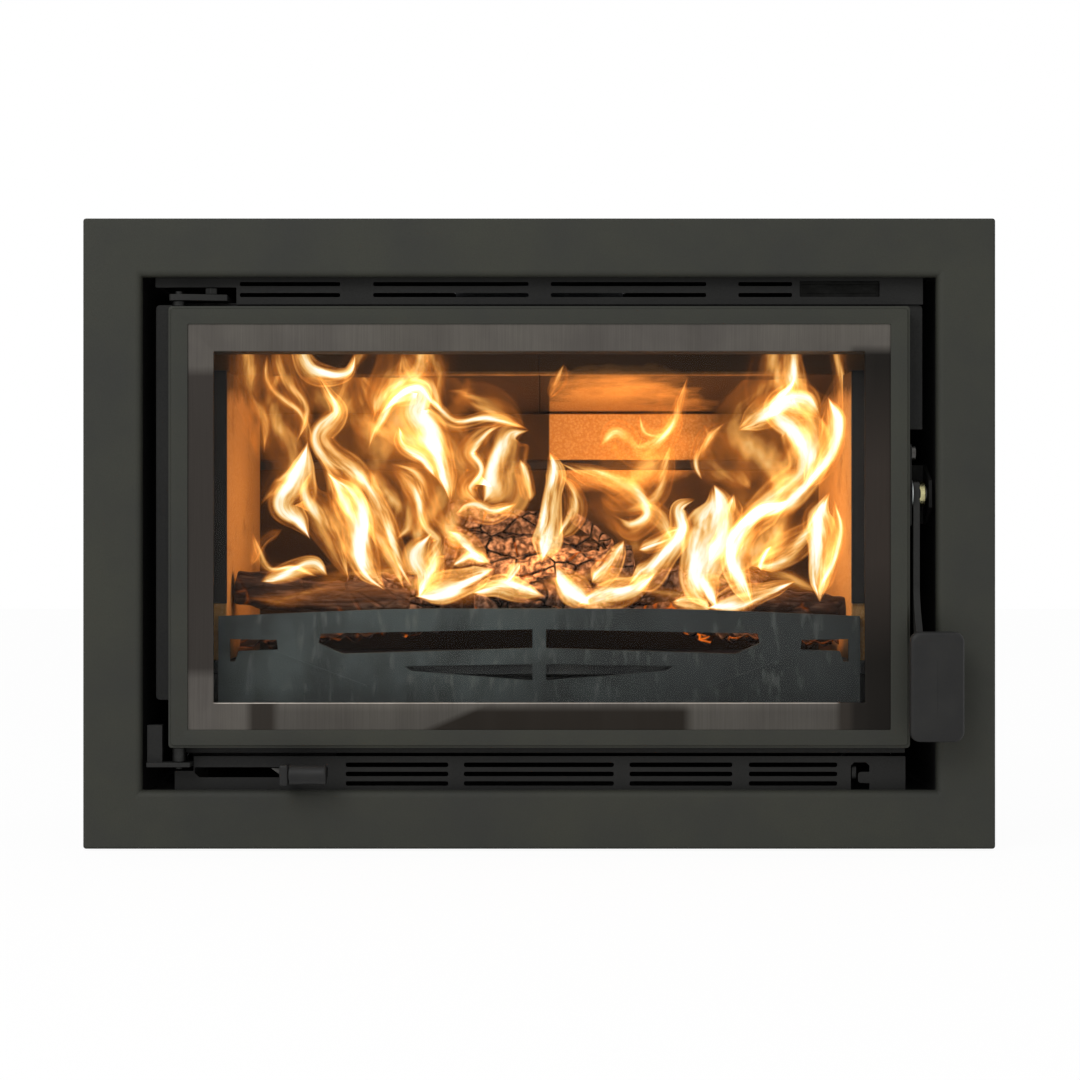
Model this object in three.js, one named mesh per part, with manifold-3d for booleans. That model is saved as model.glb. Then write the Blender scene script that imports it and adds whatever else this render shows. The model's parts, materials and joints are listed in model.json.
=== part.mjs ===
// Wood-burning fireplace insert: a steel firebox lined with insulating brick inside a convection
// casing, a side-hung glazed door with a lift-and-pull latch, an air slider, a riddling bar and a
// flat surround frame. Millimetres: +X to the viewer's right, +Y into the wall, +Z up. Pieces are
// laid out from the wall face (y = 0) and the soles of the feet (z = 0). At the end the whole
// group moves along Y, so that its origin is the bottom centre of its box.
import * as THREE from 'three';
import { mergeVertices } from 'three/addons/utils/BufferGeometryUtils.js';
import Module from 'manifold-3d';

const wasm = await Module();
wasm.setup();

// ---------- fits ----------
const TOUCH = 0.3; // left between two pieces that touch
const RUN = 0.6; // running clearance beside a sliding piece
const PIN_GAP = 0.45; // radial clearance of a pin in its hole
const PAST = 1; // how far a cut or a joined piece runs past a face
const ROUND = 16; // sides of a small round piece
const WIDE_ROUND = 24; // and of a large one
const CORNER_STEPS = 3; // steps round each corner of a ring

// ---------- door leaf: the rest is set out around it ----------
const DOOR_WIDTH = 650.4;
const DOOR_HEIGHT = 387.4;
const DOOR_DEPTH = 17;
const DOOR_SHEET = 2;
const DOOR_SIDE_BAND = 17; // visible width of the leaf's front sheet at its sides
const DOOR_END_BAND = 15.8; // and at its top and bottom
const DOOR_PROUD = 15; // front of the leaf in front of the wall face
const DOOR_EASE = 2.5; // rounding of the leaf's outer edge
const DOOR_CORNER = 3;
const SIGHT_EASE = 0.5; // rounding of its inner edge
const TRIM_WIDTH = 22.7; // glass trim that shows inside the leaf, at the sides
const TRIM_END_WIDTH = 24; // and at its top and bottom
const TRIM_LAP = 3.8; // hidden under the leaf's front sheet
const TRIM_SHEET = 1.5;
const TRIM_EASE = 1.2; // inner edge of the trim, turned towards the glass
const SHEET_CORNER = 1; // corner radius of the rings' inner edges
const GLASS_THICK = 4;
const GLASS_LAP = 21.5; // glass hidden behind the trim
const GLASS_SEAL = 4;
const GLASS_SEAL_START = 7; // seal's inner edge outside the trim's inner edge
const GLASS_SEAL_WIDTH = 11;
const RETAINER_SHEET = 2;
const RETAINER_LAP = 4.5; // how far the retainer stops short of the trim's inner edge
const RIB = 1.5; // ribs that hold the door's rope seal between them
const RIB_HEIGHT = 3.5;
const DOOR_SEAL = 8.5; // depth of the rope seal behind the leaf
const DOOR_SEAL_WIDTH = 9;
const DOOR_SEAL_INSET = 12.2; // from the leaf's side edges to the middle of the rope
const SEAL_EASE = 2.5; // rounding of the rope's back edges
const SEAL_GAP = 0.5;

// ---------- surround frame and the openings around the leaf ----------
const FRAME_BORDER = 51;
const FRAME_PROUD = 14;
const FRAME_SHEET = 2.5;
const FRAME_ROLL = 6; // radius of the rolled inner edge
const FRAME_RETURN = 12; // depth of the inner return
const FRAME_CORNER = 2.5;
const FRAME_EASE = 2; // rounding of its outer edge
const FRAME_INNER_CORNER = 1.2;
const FRAME_FLOOR = 2; // frame's lower edge above the soles
const MARGIN_SIDE = 23.8; // leaf to frame opening
const MARGIN_TOP = 26;
const MARGIN_BOTTOM = 37.6;

// ---------- casing and firebox ----------
const CASING_SHEET = 2.5;
const CASING_TUCK = 8; // casing outside the frame opening, all round
const FIREBOX_PLATE = 5;
const FIREBOX_INSET = 3.2; // firebox inside the leaf's edges
const FIREBOX_DEPTH = 317.7;
const REAR_AIR = 47.5; // convection gap behind the firebox
const FRONT_PLATE = 3;
const FRONT_PLATE_TOP = 2.7; // front plate above the leaf
const FRONT_PLATE_FOOT = 6.1; // and below it
const FRONT_PLATE_LIP = 1.5; // and past the firebox at its sides
const FRONT_PLATE_CORNER = 4;
const EAR_DROP_LEFT = 40.8; // left ear's lower end above the leaf's lower edge
const EAR_DROP_RIGHT = 280; // right ear's lower end
const MOUTH_INSET = 25.2; // mouth of the firebox inside the leaf, at the sides
const MOUTH_INSET_END = 24.4; // and at its bottom
const MOUTH_INSET_TOP = 26;
const FRONT_PLATE_EAR = 10; // front plate to frame opening, where it shows beside the leaf
const FIREBOX_RISE = 4; // firebox floor above the lower hinge bracket
const BEARER_FROM_PLATE = 103; // bearers under the firebox, behind the front plate
const BEARER_WIDTH = 12;
const FOOT_RADIUS = 20;
const FOOT_PAD = 5;
const FOOT_CONE = 10; // top of the cone above the pad
const FOOT_STEM = 6; // radius of the threaded stem
const FOOT_NUT = 11;
const FOOT_NUT_HEIGHT = 12;
const FOOT_INSET = 55; // foot centre from the casing's corner
const FLUE_BORE = 75; // radius of the smoke outlet
const FLUE_WALL = 5;
const FLUE_FLANGE = 20;
const FLUE_FLANGE_THICK = 5;
const FLUE_CLEARANCE = 4; // casing's hole round the outlet
const FLUE_FROM_BACK = 100; // outlet centre in front of the firebox back
const FLUE_RIM_DROP = 5; // rim of the outlet below the frame's top edge

// ---------- hinges ----------
const HINGE_X = 8.3; // pin from the leaf's left edge
const HINGE_Y = 10; // pin behind the leaf's front
const PIN_RADIUS = 3.5;
const HINGE_GAP = 5.2; // leaf's top to the upper bracket
const HINGE_FOOT_GAP = 13; // lower bracket to the leaf's underside
const TOP_BRACKET = 5.5;
const BOTTOM_BRACKET = 4.1;
const PIN_ENTRY = 14; // how far each pin enters the leaf
const PIN_HEAD = 2.8; // upper pin's end above its bracket
const PIN_FOOT = 6; // lower pin's end below the top of its bracket
const COLLAR_RADIUS = 6;
const BRACKET_EDGE = 8; // brackets round the pin
const BRACKET_REACH = 48; // upper bracket over the firebox
const BRACKET_GAP = 7; // upper bracket to the end of the grille's notch
const BOLT_X = 28.2; // upper bracket's bolt from the pin
const BOLT_Y = 4;
const BOLT_RADIUS = 3;
const BOLT_HEAD = 5.8; // radius of its hexagon head
const BOLT_HEAD_HEIGHT = 5.4;
const TONGUE_REACH = 20; // lower bracket behind the front of the firebox
const BLOCK_WIDTH = 13.5; // upright block on the lower bracket
const BLOCK_HEIGHT = 32.5;
const BLOCK_GAP = 1.6; // block to the swinging corner of the leaf

// ---------- latch and handle ----------
const LATCH_Z = 223.1; // latch pivot above the leaf's lower edge
const LATCH_Y = 12; // and behind the leaf's front
const STUD_RADIUS = 4;
const ARM_THICK = 5.8;
const WASHER_THICK = 1.2;
const LATCH_PLATE = 1.3;
const LATCH_PLATE_HALF = 28.7; // its lower end below the pivot
const LATCH_PLATE_FRONT = 8; // and its front edge before it
const LATCH_PLATE_BACK = 4.4;
const LATCH_BOLT_RISE = 35.7; // latch plate's bolt above the pivot
const LATCH_BOLT = 2.9; // radius of its shank
const LATCH_BOLT_HEAD = 6.2;
const LATCH_BOLT_HEAD_HEIGHT = 4;
const BOLT_GAP = 0.4; // radial clearance of a bolt in its hole
const WASHER_RADIUS = 12.3;
const STUD_END = 1.1; // stud past the arm
const ROLLER_RADIUS = 11.4;
const ROLLER_THICK = 5.8;
const ROLLER_BACK = 28; // roller behind the latch pivot
const ROLLER_SIDE = 2.2; // roller beside the arm
const LUG_RADIUS = 4;
const LUG_GAP = 0.5; // lug behind the roller when the door is latched
const PAD_WIDTH = 47.1;
const PAD_HEIGHT = 95.6;
const PAD_THICK = 12;
const PAD_Z = 7.4; // pad's lower edge above the leaf's lower edge
const PAD_LEFT = 4.5; // pad's left edge inside the leaf's right edge
const PAD_FINGER_ROOM = 25; // pad's back in front of the leaf
const PAD_EASE = 3.5; // rounding of its edges
const ARM_BOSS = 10.5; // half height of the arm at the pivot
const ARM_TAIL = 8; // half height of its tail
const ARM_FRONT = 12; // depth of the arm behind the pad
const ARM_NECK = 12; // depth of the arm between the pad and the pivot
const SEAT_TOP = 14; // arm's seat on the pad, below the pad's upper end
const SEAT_FOOT = 16; // and above its lower end
const CATCH_SHEET = 3;
const CATCH_HALF = 26.5; // half height of the catch bracket
const CATCH_WEB = 9; // bracket's web behind the lug
const CATCH_SIDE = 1; // bracket's leg from the frame opening
const CATCH_FRONT = 8; // bracket behind the front of the firebox
const CATCH_LEG_HALF = 12; // half height of its leg at the roller's stud
const CATCH_COLLAR = 6.5;

// ---------- air slider ----------
const KNOB_LENGTH = 33;
const KNOB_RADIUS = 9;
const KNOB_X = 104.1; // knob's left end from the grille's left end
const KNOB_PROUD = 21; // knob's middle in front of the leaf
const KNOB_Z = 21.8; // knob's middle below the leaf
const TAB_THICK = 6.5;
const TAB_HEIGHT = 16.5;
const TAB_FRONT = 8; // tab before the knob's middle
const TAB_BACK = 9;
const LEVER_HEIGHT = 7;
const LEVER_DROP = 1.1; // lever's middle below the knob's
const LEVER_SHEET = 2.5;
const LEVER_WING = 12.5; // pointed end of the lever to the left of the tab
const LEVER_ROOT = 10; // lever to the right of the tab
const STRAP_THICK = 3;
const STRAP_DROP = 5.4; // strap below the valve
const STRAP_HALF = 8; // half depth of the riser from the strap to the valve
const SLIDER_STROKE = 75;
const VALVE_LENGTH = 60;
const VALVE_WIDTH = 40;
const VALVE_THICK = 4;
const VALVE_Y = 71; // middle of the valve behind the front plate
const VALVE_X = 5; // and to the right of the tab's middle
const PORT_INSET = 10; // air port inside the valve, along the slider
const PORT_INSET_Y = 6;
const GUIDE_LIP = 4.5; // guides' lips under the valve
const GUIDE_DROP = 4; // their lower faces below the valve
const GUIDE_WALL = 6;
const GUIDE_END = 4; // guides past the valve at its right end
const GUIDE_SHORT = 5; // and short of its travel at the left

// ---------- air grilles ----------
const SLOT_ROUNDING = 0.45; // corner radius of a slot, as a share of its height
const TOP_SLOT = 3.6;
const TOP_SLOT_LENGTHS = [88.5, 137, 137, 47.4];
const TOP_SLOT_BARS = [29.2, 19.7, 28.4];
const TOP_SLOT_ROWS = [19.9, 10.2]; // slot middles below the grille's top edge
const TOP_SLOT_START = 3; // first slot after the notch
const TOP_SLOT_END = 6.7; // last slot before the plate's hole
const NOTCH_WIDTH = 71.5; // notch for the upper hinge bracket
const NOTCH_HEIGHT = 15;
const PLATE_HOLE = 70.7; // hole in front of the blank data plate
const PLATE_HOLE_HEIGHT = 14.1;
const PLATE_HOLE_END = 38.2; // hole's right end from the grille's right end
const PLATE_HOLE_DROP = 21.5; // hole's lower edge below the grille's top edge
const PLATE_LAP = 3;
const PLATE_SHEET = 1.5;
const PLATE_DENT = 0.5;
const BOTTOM_GAP = 8.7; // bottom grille below the leaf
const BOTTOM_SLOT = 4.1;
const BOTTOM_SLOT_LENGTHS = [90.6, 132.5, 90.8, 78.1];
const BOTTOM_SLOT_BARS = [13.8, 13.9, 14.6];
const BOTTOM_SLOT_ROWS = [7.6, 15.7, 24.1]; // slot middles below the grille's top edge
const BOTTOM_SLOT_START = 16; // first slot after the slider's slot
const BOTTOM_SLOT_END = 12; // last slot before the hook-shaped hole
const SLIDER_SLOT = 9;
const SLIDER_SLOT_X = 17.5; // slot's left end from the grille's left end
const SLIDER_SLOT_END = 2; // its right end inside the knob's right end
const SLIDER_SLOT_CHAMFER = 4;
const FOOT_NOTCH = 16.7; // notch for the lower hinge bracket
const FOOT_NOTCH_HEIGHT = 13;
const HOOK_NECK = 6.4; // width of the riddling bar's way out
const HOOK_WIDTH = 16.4;
const HOOK_FOOT = 4; // hole's foot above the grille's lower edge
const HOOK_STEP = 10.4; // top of its lower hook
const HOOK_SHELF = 20.2; // underside of its upper hook
const HOOK_TOP = 5.4; // hole's top below the grille's top edge
const HOOK_CHAMFER = 3;

// ---------- grate, bricks and ash ----------
const GRATE_RISE = 74; // top of the grate above the firebox floor
const GRATE_THICK = 12;
const GRATE_MARGIN = 10.7; // grate to the firebox wall, each side
const GRATE_SKIRT = 6;
const ASH_SLOTS = 7;
const ASH_SLOT = 8;
const ASH_PITCH = 19;
const RIDDLE_HALF = 140;
const RIDDLE_SLOT_MARGIN = 10; // ash slots inside the riddling grate's ends
const RIDDLE_THICK = 10;
const RIDDLE_EDGE = 4; // riddling grate beyond its slots, front and back
const RIDDLE_STROKE = 20;
const RUNNER_LIP = 6; // runners' lips under the riddling grate
const RUNNER_WALL = 4;
const RUNNER_DROP = 4; // their lower faces below it
const RUNNER_START = 20; // runners behind the riddling grate's front edge
const RIDDLE_BAR = 4; // thickness of the riddling bar
const RIDDLE_BAR_MARGIN = 38.2; // its middle to the firebox wall
const RIDDLE_BAR_DROP = 16.6; // its top edge below the leaf
const RIDDLE_BAR_HEIGHT = 14;
const RIDDLE_BAR_PROUD = 2; // its front end inside the bottom grille
const RIDDLE_EYE = 3.5; // radius of the hole that a tool hooks into
const RIDDLE_EYE_Y = 8;
const UPRIGHT_WIDTH = 18; // bar's upright, up to the riddling grate's arm
const REACH_THICK = 4.4; // thickness of that arm
const BRICK_THICK = 25;
const SIDE_BRICK_MARGIN = 1; // side bricks inside the grate's ends
const SIDE_BRICK_THICK = 26;
const SIDE_BRICK_TAPER = 5; // how much thicker they are at the back
const SIDE_BRICK_SETBACK = 0.7; // behind the grate's front edge
const STRIP_THICK = 4; // steel strip that keeps the side bricks in, above the log guard
const STRIP_GAP = 4.5; // strip's lower end above the guard
const BAFFLE_THICK = 20;
const BAFFLE_DROP = 58.4; // baffle's underside, at its front edge, below the firebox top
const BAFFLE_SLOPE = 0.1286; // fall per unit of depth
const BAFFLE_FRONT_Y = 101; // behind the front plate
const REAR_BRICK_HEIGHT = 176.4;
const AIR_BAR_HEIGHT = 9.2;
const REAR_SEAM_X = 9.5;
const AIRWASH_DROP = 37.6;
const AIRWASH_SHEET = 3;
const AIRWASH_FRONT = 9; // airwash angle behind the front of the firebox
const AIRWASH_DEPTH = 36;
const GUARD_THICK = 8;
const GUARD_MARGIN = 30.7; // guard to the firebox wall, each side
const GUARD_Y = 18; // guard behind the front plate
const GUARD_HEIGHT = 120.6; // above the firebox floor
const GUARD_DROP = 6.6; // how far its top edge falls to the ends
const GUARD_CREST = 157.3; // where the fall starts, from the guard's ends
const GUARD_BAR = 6; // half width of the upright between the guard's openings
const RIDGE_WIDTH = 2.6;
const RIDGE_PROUD = 1.2;
const PAN_HALF = 190;
const PAN_HEIGHT = 43.7;
const PAN_WALL = 1.5;
const PAN_FRONT = 7; // ash pan behind the grate's front edge
const PAN_BACK = 35; // ash pan in front of the rear lining

// ---------- places that follow from the sizes ----------
const door = {
  x0: -DOOR_WIDTH / 2,
  x1: DOOR_WIDTH / 2,
  z0: FRAME_FLOOR + FRAME_BORDER + MARGIN_BOTTOM,
  z1: FRAME_FLOOR + FRAME_BORDER + MARGIN_BOTTOM + DOOR_HEIGHT,
};
const opening = {
  x0: door.x0 - MARGIN_SIDE,
  x1: door.x1 + MARGIN_SIDE,
  z0: door.z0 - MARGIN_BOTTOM,
  z1: door.z1 + MARGIN_TOP,
};
const frameFront = -FRAME_PROUD;
const doorFront = -DOOR_PROUD;
const doorBack = doorFront + DOOR_DEPTH;
const trimFront = doorFront + DOOR_SHEET + TOUCH;
const glassFront = trimFront + TRIM_SHEET + TOUCH;
const glassSealFront = glassFront + GLASS_THICK + TOUCH;
const retainerFront = glassSealFront + GLASS_SEAL + TOUCH;
const doorSealFront = retainerFront + RETAINER_SHEET + TOUCH;
const doorSealBack = doorSealFront + DOOR_SEAL;
const plateFront = doorSealBack + SEAL_GAP;
const plateBack = plateFront + FRONT_PLATE;
const grilleBack = plateFront - SEAL_GAP;
const grilleFront = grilleBack - CASING_SHEET;
const casing = grow(opening, CASING_TUCK);
const casingFront = frameFront + FRAME_SHEET + TOUCH;
const casingInside = grow(casing, -CASING_SHEET);
const firebox = {
  x0: door.x0 + FIREBOX_INSET,
  x1: door.x1 - FIREBOX_INSET,
  z0: door.z0 - HINGE_FOOT_GAP + BOTTOM_BRACKET + TOUCH + FIREBOX_RISE,
  z1: door.z1 + HINGE_GAP - TOUCH,
};
const fireboxFront = plateBack + TOUCH;
const fireboxBack = fireboxFront + FIREBOX_DEPTH;
const casingBack = fireboxBack + REAR_AIR + CASING_SHEET;
const mouth = {
  x0: door.x0 + MOUTH_INSET,
  x1: door.x1 - MOUTH_INSET,
  z0: door.z0 + MOUTH_INSET_END,
  z1: door.z1 - MOUTH_INSET_TOP,
};
const hearth = firebox.z0 + FIREBOX_PLATE; // inside floor of the firebox
const wallEnd = firebox.x1 - FIREBOX_PLATE - TOUCH; // half width between the firebox sides
const hinge = { x: door.x0 + HINGE_X, y: doorFront + HINGE_Y };
const latch = { y: doorFront + LATCH_Y, z: door.z0 + LATCH_Z };
const flueY = fireboxBack - FLUE_FROM_BACK;
const baffleFront = plateBack + BAFFLE_FRONT_Y;
const guardFront = plateBack + GUARD_Y;
const guardBack = guardFront + GUARD_THICK;
const guardHalf = wallEnd - GUARD_MARGIN;
const guardTop = hearth + GUARD_HEIGHT;
const grateFront = guardBack + TOUCH;
const grateTop = hearth + GRATE_RISE;
const grateFoot = grateTop - GRATE_THICK;
const grateHalf = wallEnd - GRATE_MARGIN;
const liningBack = fireboxBack - FIREBOX_PLATE - TOUCH;
const liningFace = liningBack - BRICK_THICK; // front faces of the rear bricks
const slotMiddle = (grateFront + liningBack) / 2; // middle of the ash slots
const riddleTop = grateFoot - TOUCH;
const riddleFoot = riddleTop - RIDDLE_THICK;
const riddleHalfDepth = (ASH_SLOTS * ASH_PITCH) / 2 + RIDDLE_EDGE;
const uprightFront = slotMiddle - riddleHalfDepth; // front of the riddling bar's upright
const slotField = RIDDLE_HALF - RIDDLE_SLOT_MARGIN; // half width of the ash slots
const riddleBarX = wallEnd - RIDDLE_BAR_MARGIN; // middle of the riddling bar
const baffleZ = firebox.z1 - BAFFLE_DROP; // baffle's underside at its front edge
const sideBrickOut = grateHalf - SIDE_BRICK_MARGIN;
const sideBrickIn = sideBrickOut - SIDE_BRICK_THICK;
const sideBrickFront = grateFront + SIDE_BRICK_SETBACK;

// ---------- shapes ----------
function grow(box, distance) {
  return {
    x0: box.x0 - distance,
    x1: box.x1 + distance,
    z0: box.z0 - distance,
    z1: box.z1 + distance,
  };
}

// An outline through corners [a, b]; a third number rounds that corner.
function outline(corners, Kind = THREE.Shape) {
  const path = new Kind();
  corners.forEach(([a, b, radius = 0], i) => {
    const here = new THREE.Vector2(a, b);
    const before = new THREE.Vector2(...corners.at(i - 1).slice(0, 2));
    const after = new THREE.Vector2(...corners[(i + 1) % corners.length].slice(0, 2));
    const start = here.clone().lerp(before, radius / here.distanceTo(before));
    const end = here.clone().lerp(after, radius / here.distanceTo(after));
    if (i === 0) path.moveTo(start.x, start.y);
    else path.lineTo(start.x, start.y);
    if (radius > 0) path.quadraticCurveTo(a, b, end.x, end.y);
  });
  path.closePath();
  return path;
}

function boxCorners(box, radius = 0) {
  return [
    [box.x0, box.z0, radius],
    [box.x1, box.z0, radius],
    [box.x1, box.z1, radius],
    [box.x0, box.z1, radius],
  ];
}

// Three section points of a ring's rounded outer edge, from its front face round to its side.
function easedEdge(box, front, radius, corner) {
  const middle = radius * (1 - Math.SQRT1_2);
  return [
    [grow(box, -radius), front, corner],
    [grow(box, -middle), front + middle, corner],
    [box, front + radius, corner],
  ];
}

// A sheet standing in the XZ plane, from y0 back to y1.
function sheetXZ(corners, holes, y0, y1) {
  const shape = outline(corners);
  shape.holes.push(...holes.map((hole) => outline(hole, THREE.Path)));
  const geometry = new THREE.ExtrudeGeometry(shape, extrusion(y1 - y0));
  return geometry.rotateX(Math.PI / 2).translate(0, y1, 0);
}

// A profile in the YZ plane, carried from x0 to x1.
function sheetYZ(corners, x0, x1) {
  const geometry = new THREE.ExtrudeGeometry(outline(corners), extrusion(x1 - x0));
  const turn = new THREE.Matrix4().set(0, 0, 1, x0, 1, 0, 0, 0, 0, 1, 0, 0, 0, 0, 0, 1);
  return geometry.applyMatrix4(turn);
}

// A profile in the XY plane, carried from z0 up to z1.
function sheetXY(corners, z0, z1) {
  return new THREE.ExtrudeGeometry(outline(corners), extrusion(z1 - z0)).translate(0, 0, z0);
}

function extrusion(depth) {
  return { depth, bevelEnabled: false, curveSegments: 4 };
}

// A box between two X, two Y and two Z places, given in either order.
function block(x0, x1, y0, y1, z0, z1) {
  const size = [x1 - x0, y1 - y0, z1 - z0].map(Math.abs);
  const geometry = new THREE.BoxGeometry(...size);
  return geometry.translate((x0 + x1) / 2, (y0 + y1) / 2, (z0 + z1) / 2);
}

// Round bars along X and along Z.
function barX(radius, x0, x1, y, z, sides = ROUND) {
  const geometry = new THREE.CylinderGeometry(radius, radius, x1 - x0, sides);
  return geometry.rotateZ(Math.PI / 2).translate((x0 + x1) / 2, y, z);
}

function barZ(radius, x, y, z0, z1, sides = ROUND) {
  const geometry = new THREE.CylinderGeometry(radius, radius, z1 - z0, sides);
  return geometry.rotateX(Math.PI / 2).translate(x, y, (z0 + z1) / 2);
}

// A turned piece about a vertical axis, from a closed profile of [radius, height].
function turned(profile, x, y, z, sides = ROUND) {
  const points = [...profile, profile[0]].map(([r, h]) => new THREE.Vector2(r, h));
  return new THREE.LatheGeometry(points, sides).rotateX(Math.PI / 2).translate(x, y, z);
}

// A closed section carried round a rectangular opening: one [box, y, corner radius] per point.
function ring(section) {
  const loops = section.map(([box, y, radius]) => {
    const quarters = [
      [box.x1 - radius, box.z1 - radius],
      [box.x0 + radius, box.z1 - radius],
      [box.x0 + radius, box.z0 + radius],
      [box.x1 - radius, box.z0 + radius],
    ];
    return quarters.flatMap(([x, z], quarter) =>
      Array.from({ length: CORNER_STEPS + 1 }, (_, step) => {
        const angle = (quarter + step / CORNER_STEPS) * (Math.PI / 2);
        return [x + radius * Math.cos(angle), y, z + radius * Math.sin(angle)];
      })
    );
  });
  const around = loops[0].length;
  const faces = [];
  loops.forEach((loop, i) => {
    const next = (i + 1) % loops.length;
    loop.forEach((_, j) => {
      const k = (j + 1) % around;
      const a = i * around + j;
      const b = i * around + k;
      const c = next * around + k;
      const d = next * around + j;
      faces.push(a, b, c, a, c, d);
    });
  });
  const geometry = new THREE.BufferGeometry();
  geometry.setAttribute('position', new THREE.Float32BufferAttribute(loops.flat(2), 3));
  geometry.setIndex(faces);
  return outward(geometry);
}

// Turns a closed surface's faces outward if its volume comes out negative.
function outward(geometry) {
  const position = geometry.attributes.position;
  const index = geometry.index.array;
  const [a, b, c] = [new THREE.Vector3(), new THREE.Vector3(), new THREE.Vector3()];
  let volume = 0;
  for (let i = 0; i < index.length; i += 3) {
    a.fromBufferAttribute(position, index[i]);
    b.fromBufferAttribute(position, index[i + 1]);
    c.fromBufferAttribute(position, index[i + 2]);
    volume += a.dot(b.cross(c));
  }
  if (volume < 0) geometry.setIndex(Array.from(index).reverse());
  return geometry;
}

// ---------- joining and cutting ----------
function solid(geometry) {
  const bare = geometry.clone();
  bare.deleteAttribute('normal');
  bare.deleteAttribute('uv');
  const merged = mergeVertices(bare);
  const vertProperties = new Float32Array(merged.attributes.position.array);
  const triVerts = new Uint32Array(merged.index.array);
  return new wasm.Manifold(new wasm.Mesh({ numProp: 3, vertProperties, triVerts }));
}

function surface(body) {
  const mesh = body.getMesh();
  const geometry = new THREE.BufferGeometry();
  geometry.setAttribute('position', new THREE.BufferAttribute(mesh.vertProperties, 3));
  geometry.setIndex(new THREE.BufferAttribute(mesh.triVerts, 1));
  return geometry;
}

function join(first, ...others) {
  return surface(others.reduce((body, piece) => body.add(solid(piece)), solid(first)));
}

function cut(first, ...tools) {
  return surface(tools.reduce((body, tool) => body.subtract(solid(tool)), solid(first)));
}

function common(first, second) {
  return surface(solid(first).intersect(solid(second)));
}

// ---------- finishes ----------
function finish(color, roughness, metalness) {
  return new THREE.MeshStandardMaterial({ color, roughness, metalness });
}
const paint = finish('#3d3e39', 0.6, 0.2); // heat-proof paint on the frame and leaf
const innerPaint = finish('#272726', 0.7, 0.2); // the same paint in the shade of the opening
const brushed = finish('#57534f', 0.35, 1); // brushed steel glass trim
const bareSteel = finish('#6d6d6b', 0.45, 1);
const zinc = finish('#b9bcbd', 0.35, 1);
const brass = finish('#c8c08c', 0.35, 1);
const castIron = finish('#34373a', 0.8, 0.4);
const brick = finish('#c9a06a', 0.95, 0);
const rope = finish('#3a3a38', 1, 0);
const glass = finish('#20242a', 0.05, 0);
const galvanised = finish('#8d9192', 0.5, 0.8);
const bakelite = finish('#2f2f2f', 0.55, 0);

// ---------- bodies ----------
const insert = new THREE.Group();
const bodies = {
  body: new THREE.Group(),
  door: new THREE.Group(),
  handle: new THREE.Group(),
  roller: new THREE.Group(),
  air: new THREE.Group(),
  riddle: new THREE.Group(),
};
insert.add(...Object.values(bodies));

function place(body, name, geometry, material) {
  const mesh = new THREE.Mesh(geometry, material);
  mesh.name = name;
  bodies[body].add(mesh);
}

// ---------- surround frame ----------
function surroundFrame() {
  const outer = grow(opening, FRAME_BORDER);
  const back = frameFront + FRAME_SHEET;
  // Quarter turn from the inner return to the front sheet, on the outside or inside of the roll.
  const roll = (radius) =>
    [0, 30, 60, 90].map((degrees) => {
      const angle = (degrees * Math.PI) / 180;
      const out = FRAME_ROLL - radius * Math.cos(angle);
      const y = frameFront + FRAME_ROLL - radius * Math.sin(angle);
      return [grow(opening, out), y, FRAME_INNER_CORNER];
    });
  return ring([
    [opening, frameFront + FRAME_RETURN, FRAME_INNER_CORNER],
    ...roll(FRAME_ROLL),
    ...easedEdge(outer, frameFront, FRAME_EASE, FRAME_CORNER),
    [outer, 0, FRAME_CORNER],
    [grow(outer, -FRAME_SHEET), 0, FRAME_INNER_CORNER],
    [grow(outer, -FRAME_SHEET), back, FRAME_INNER_CORNER],
    ...roll(FRAME_ROLL - FRAME_SHEET).reverse(),
    [grow(opening, FRAME_SHEET), frameFront + FRAME_RETURN, FRAME_INNER_CORNER],
  ]);
}
place('body', 'surround_frame', surroundFrame(), paint);

// ---------- convection casing ----------
const innerEnd = casingInside.x1 - TOUCH;
function casingTop() {
  const sheet = block(-innerEnd, innerEnd, casingFront, casingBack, casingInside.z1, casing.z1);
  const hole = FLUE_BORE + FLUE_WALL + FLUE_CLEARANCE;
  return cut(sheet, barZ(hole, 0, flueY, casingInside.z1 - PAST, casing.z1 + PAST, WIDE_ROUND));
}
for (const [side, x] of [['left', casing.x0], ['right', casingInside.x1]]) {
  const panel = block(x, x + CASING_SHEET, casingFront, casingBack, casing.z0, casing.z1);
  place('body', `casing_${side}`, panel, galvanised);
}
place('body', 'casing_top', casingTop(), galvanised);
place(
  'body',
  'casing_base',
  block(-innerEnd, innerEnd, casingFront, casingBack, casing.z0, casingInside.z0),
  galvanised
);
place(
  'body',
  'casing_back',
  block(
    -innerEnd,
    innerEnd,
    casingBack - CASING_SHEET,
    casingBack,
    casingInside.z0 + TOUCH,
    casingInside.z1 - TOUCH
  ),
  galvanised
);

// Levelling feet: pad, threaded stem and nut, up to the underside of the casing.
const FOOT_PROFILE = [
  [0, 0],
  [FOOT_RADIUS, 0],
  [FOOT_RADIUS, FOOT_PAD],
  [FOOT_STEM, FOOT_CONE],
  [FOOT_STEM, casing.z0 - FOOT_NUT_HEIGHT],
  [FOOT_NUT, casing.z0 - FOOT_NUT_HEIGHT],
  [FOOT_NUT, casing.z0 - TOUCH],
  [0, casing.z0 - TOUCH],
];
for (const [row, y] of [['front', FOOT_INSET], ['rear', casingBack - FOOT_INSET]]) {
  for (const [side, x] of [['left', casing.x0 + FOOT_INSET], ['right', casing.x1 - FOOT_INSET]]) {
    place('body', `foot_${row}_${side}`, turned(FOOT_PROFILE, x, y, 0), zinc);
  }
}

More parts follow.
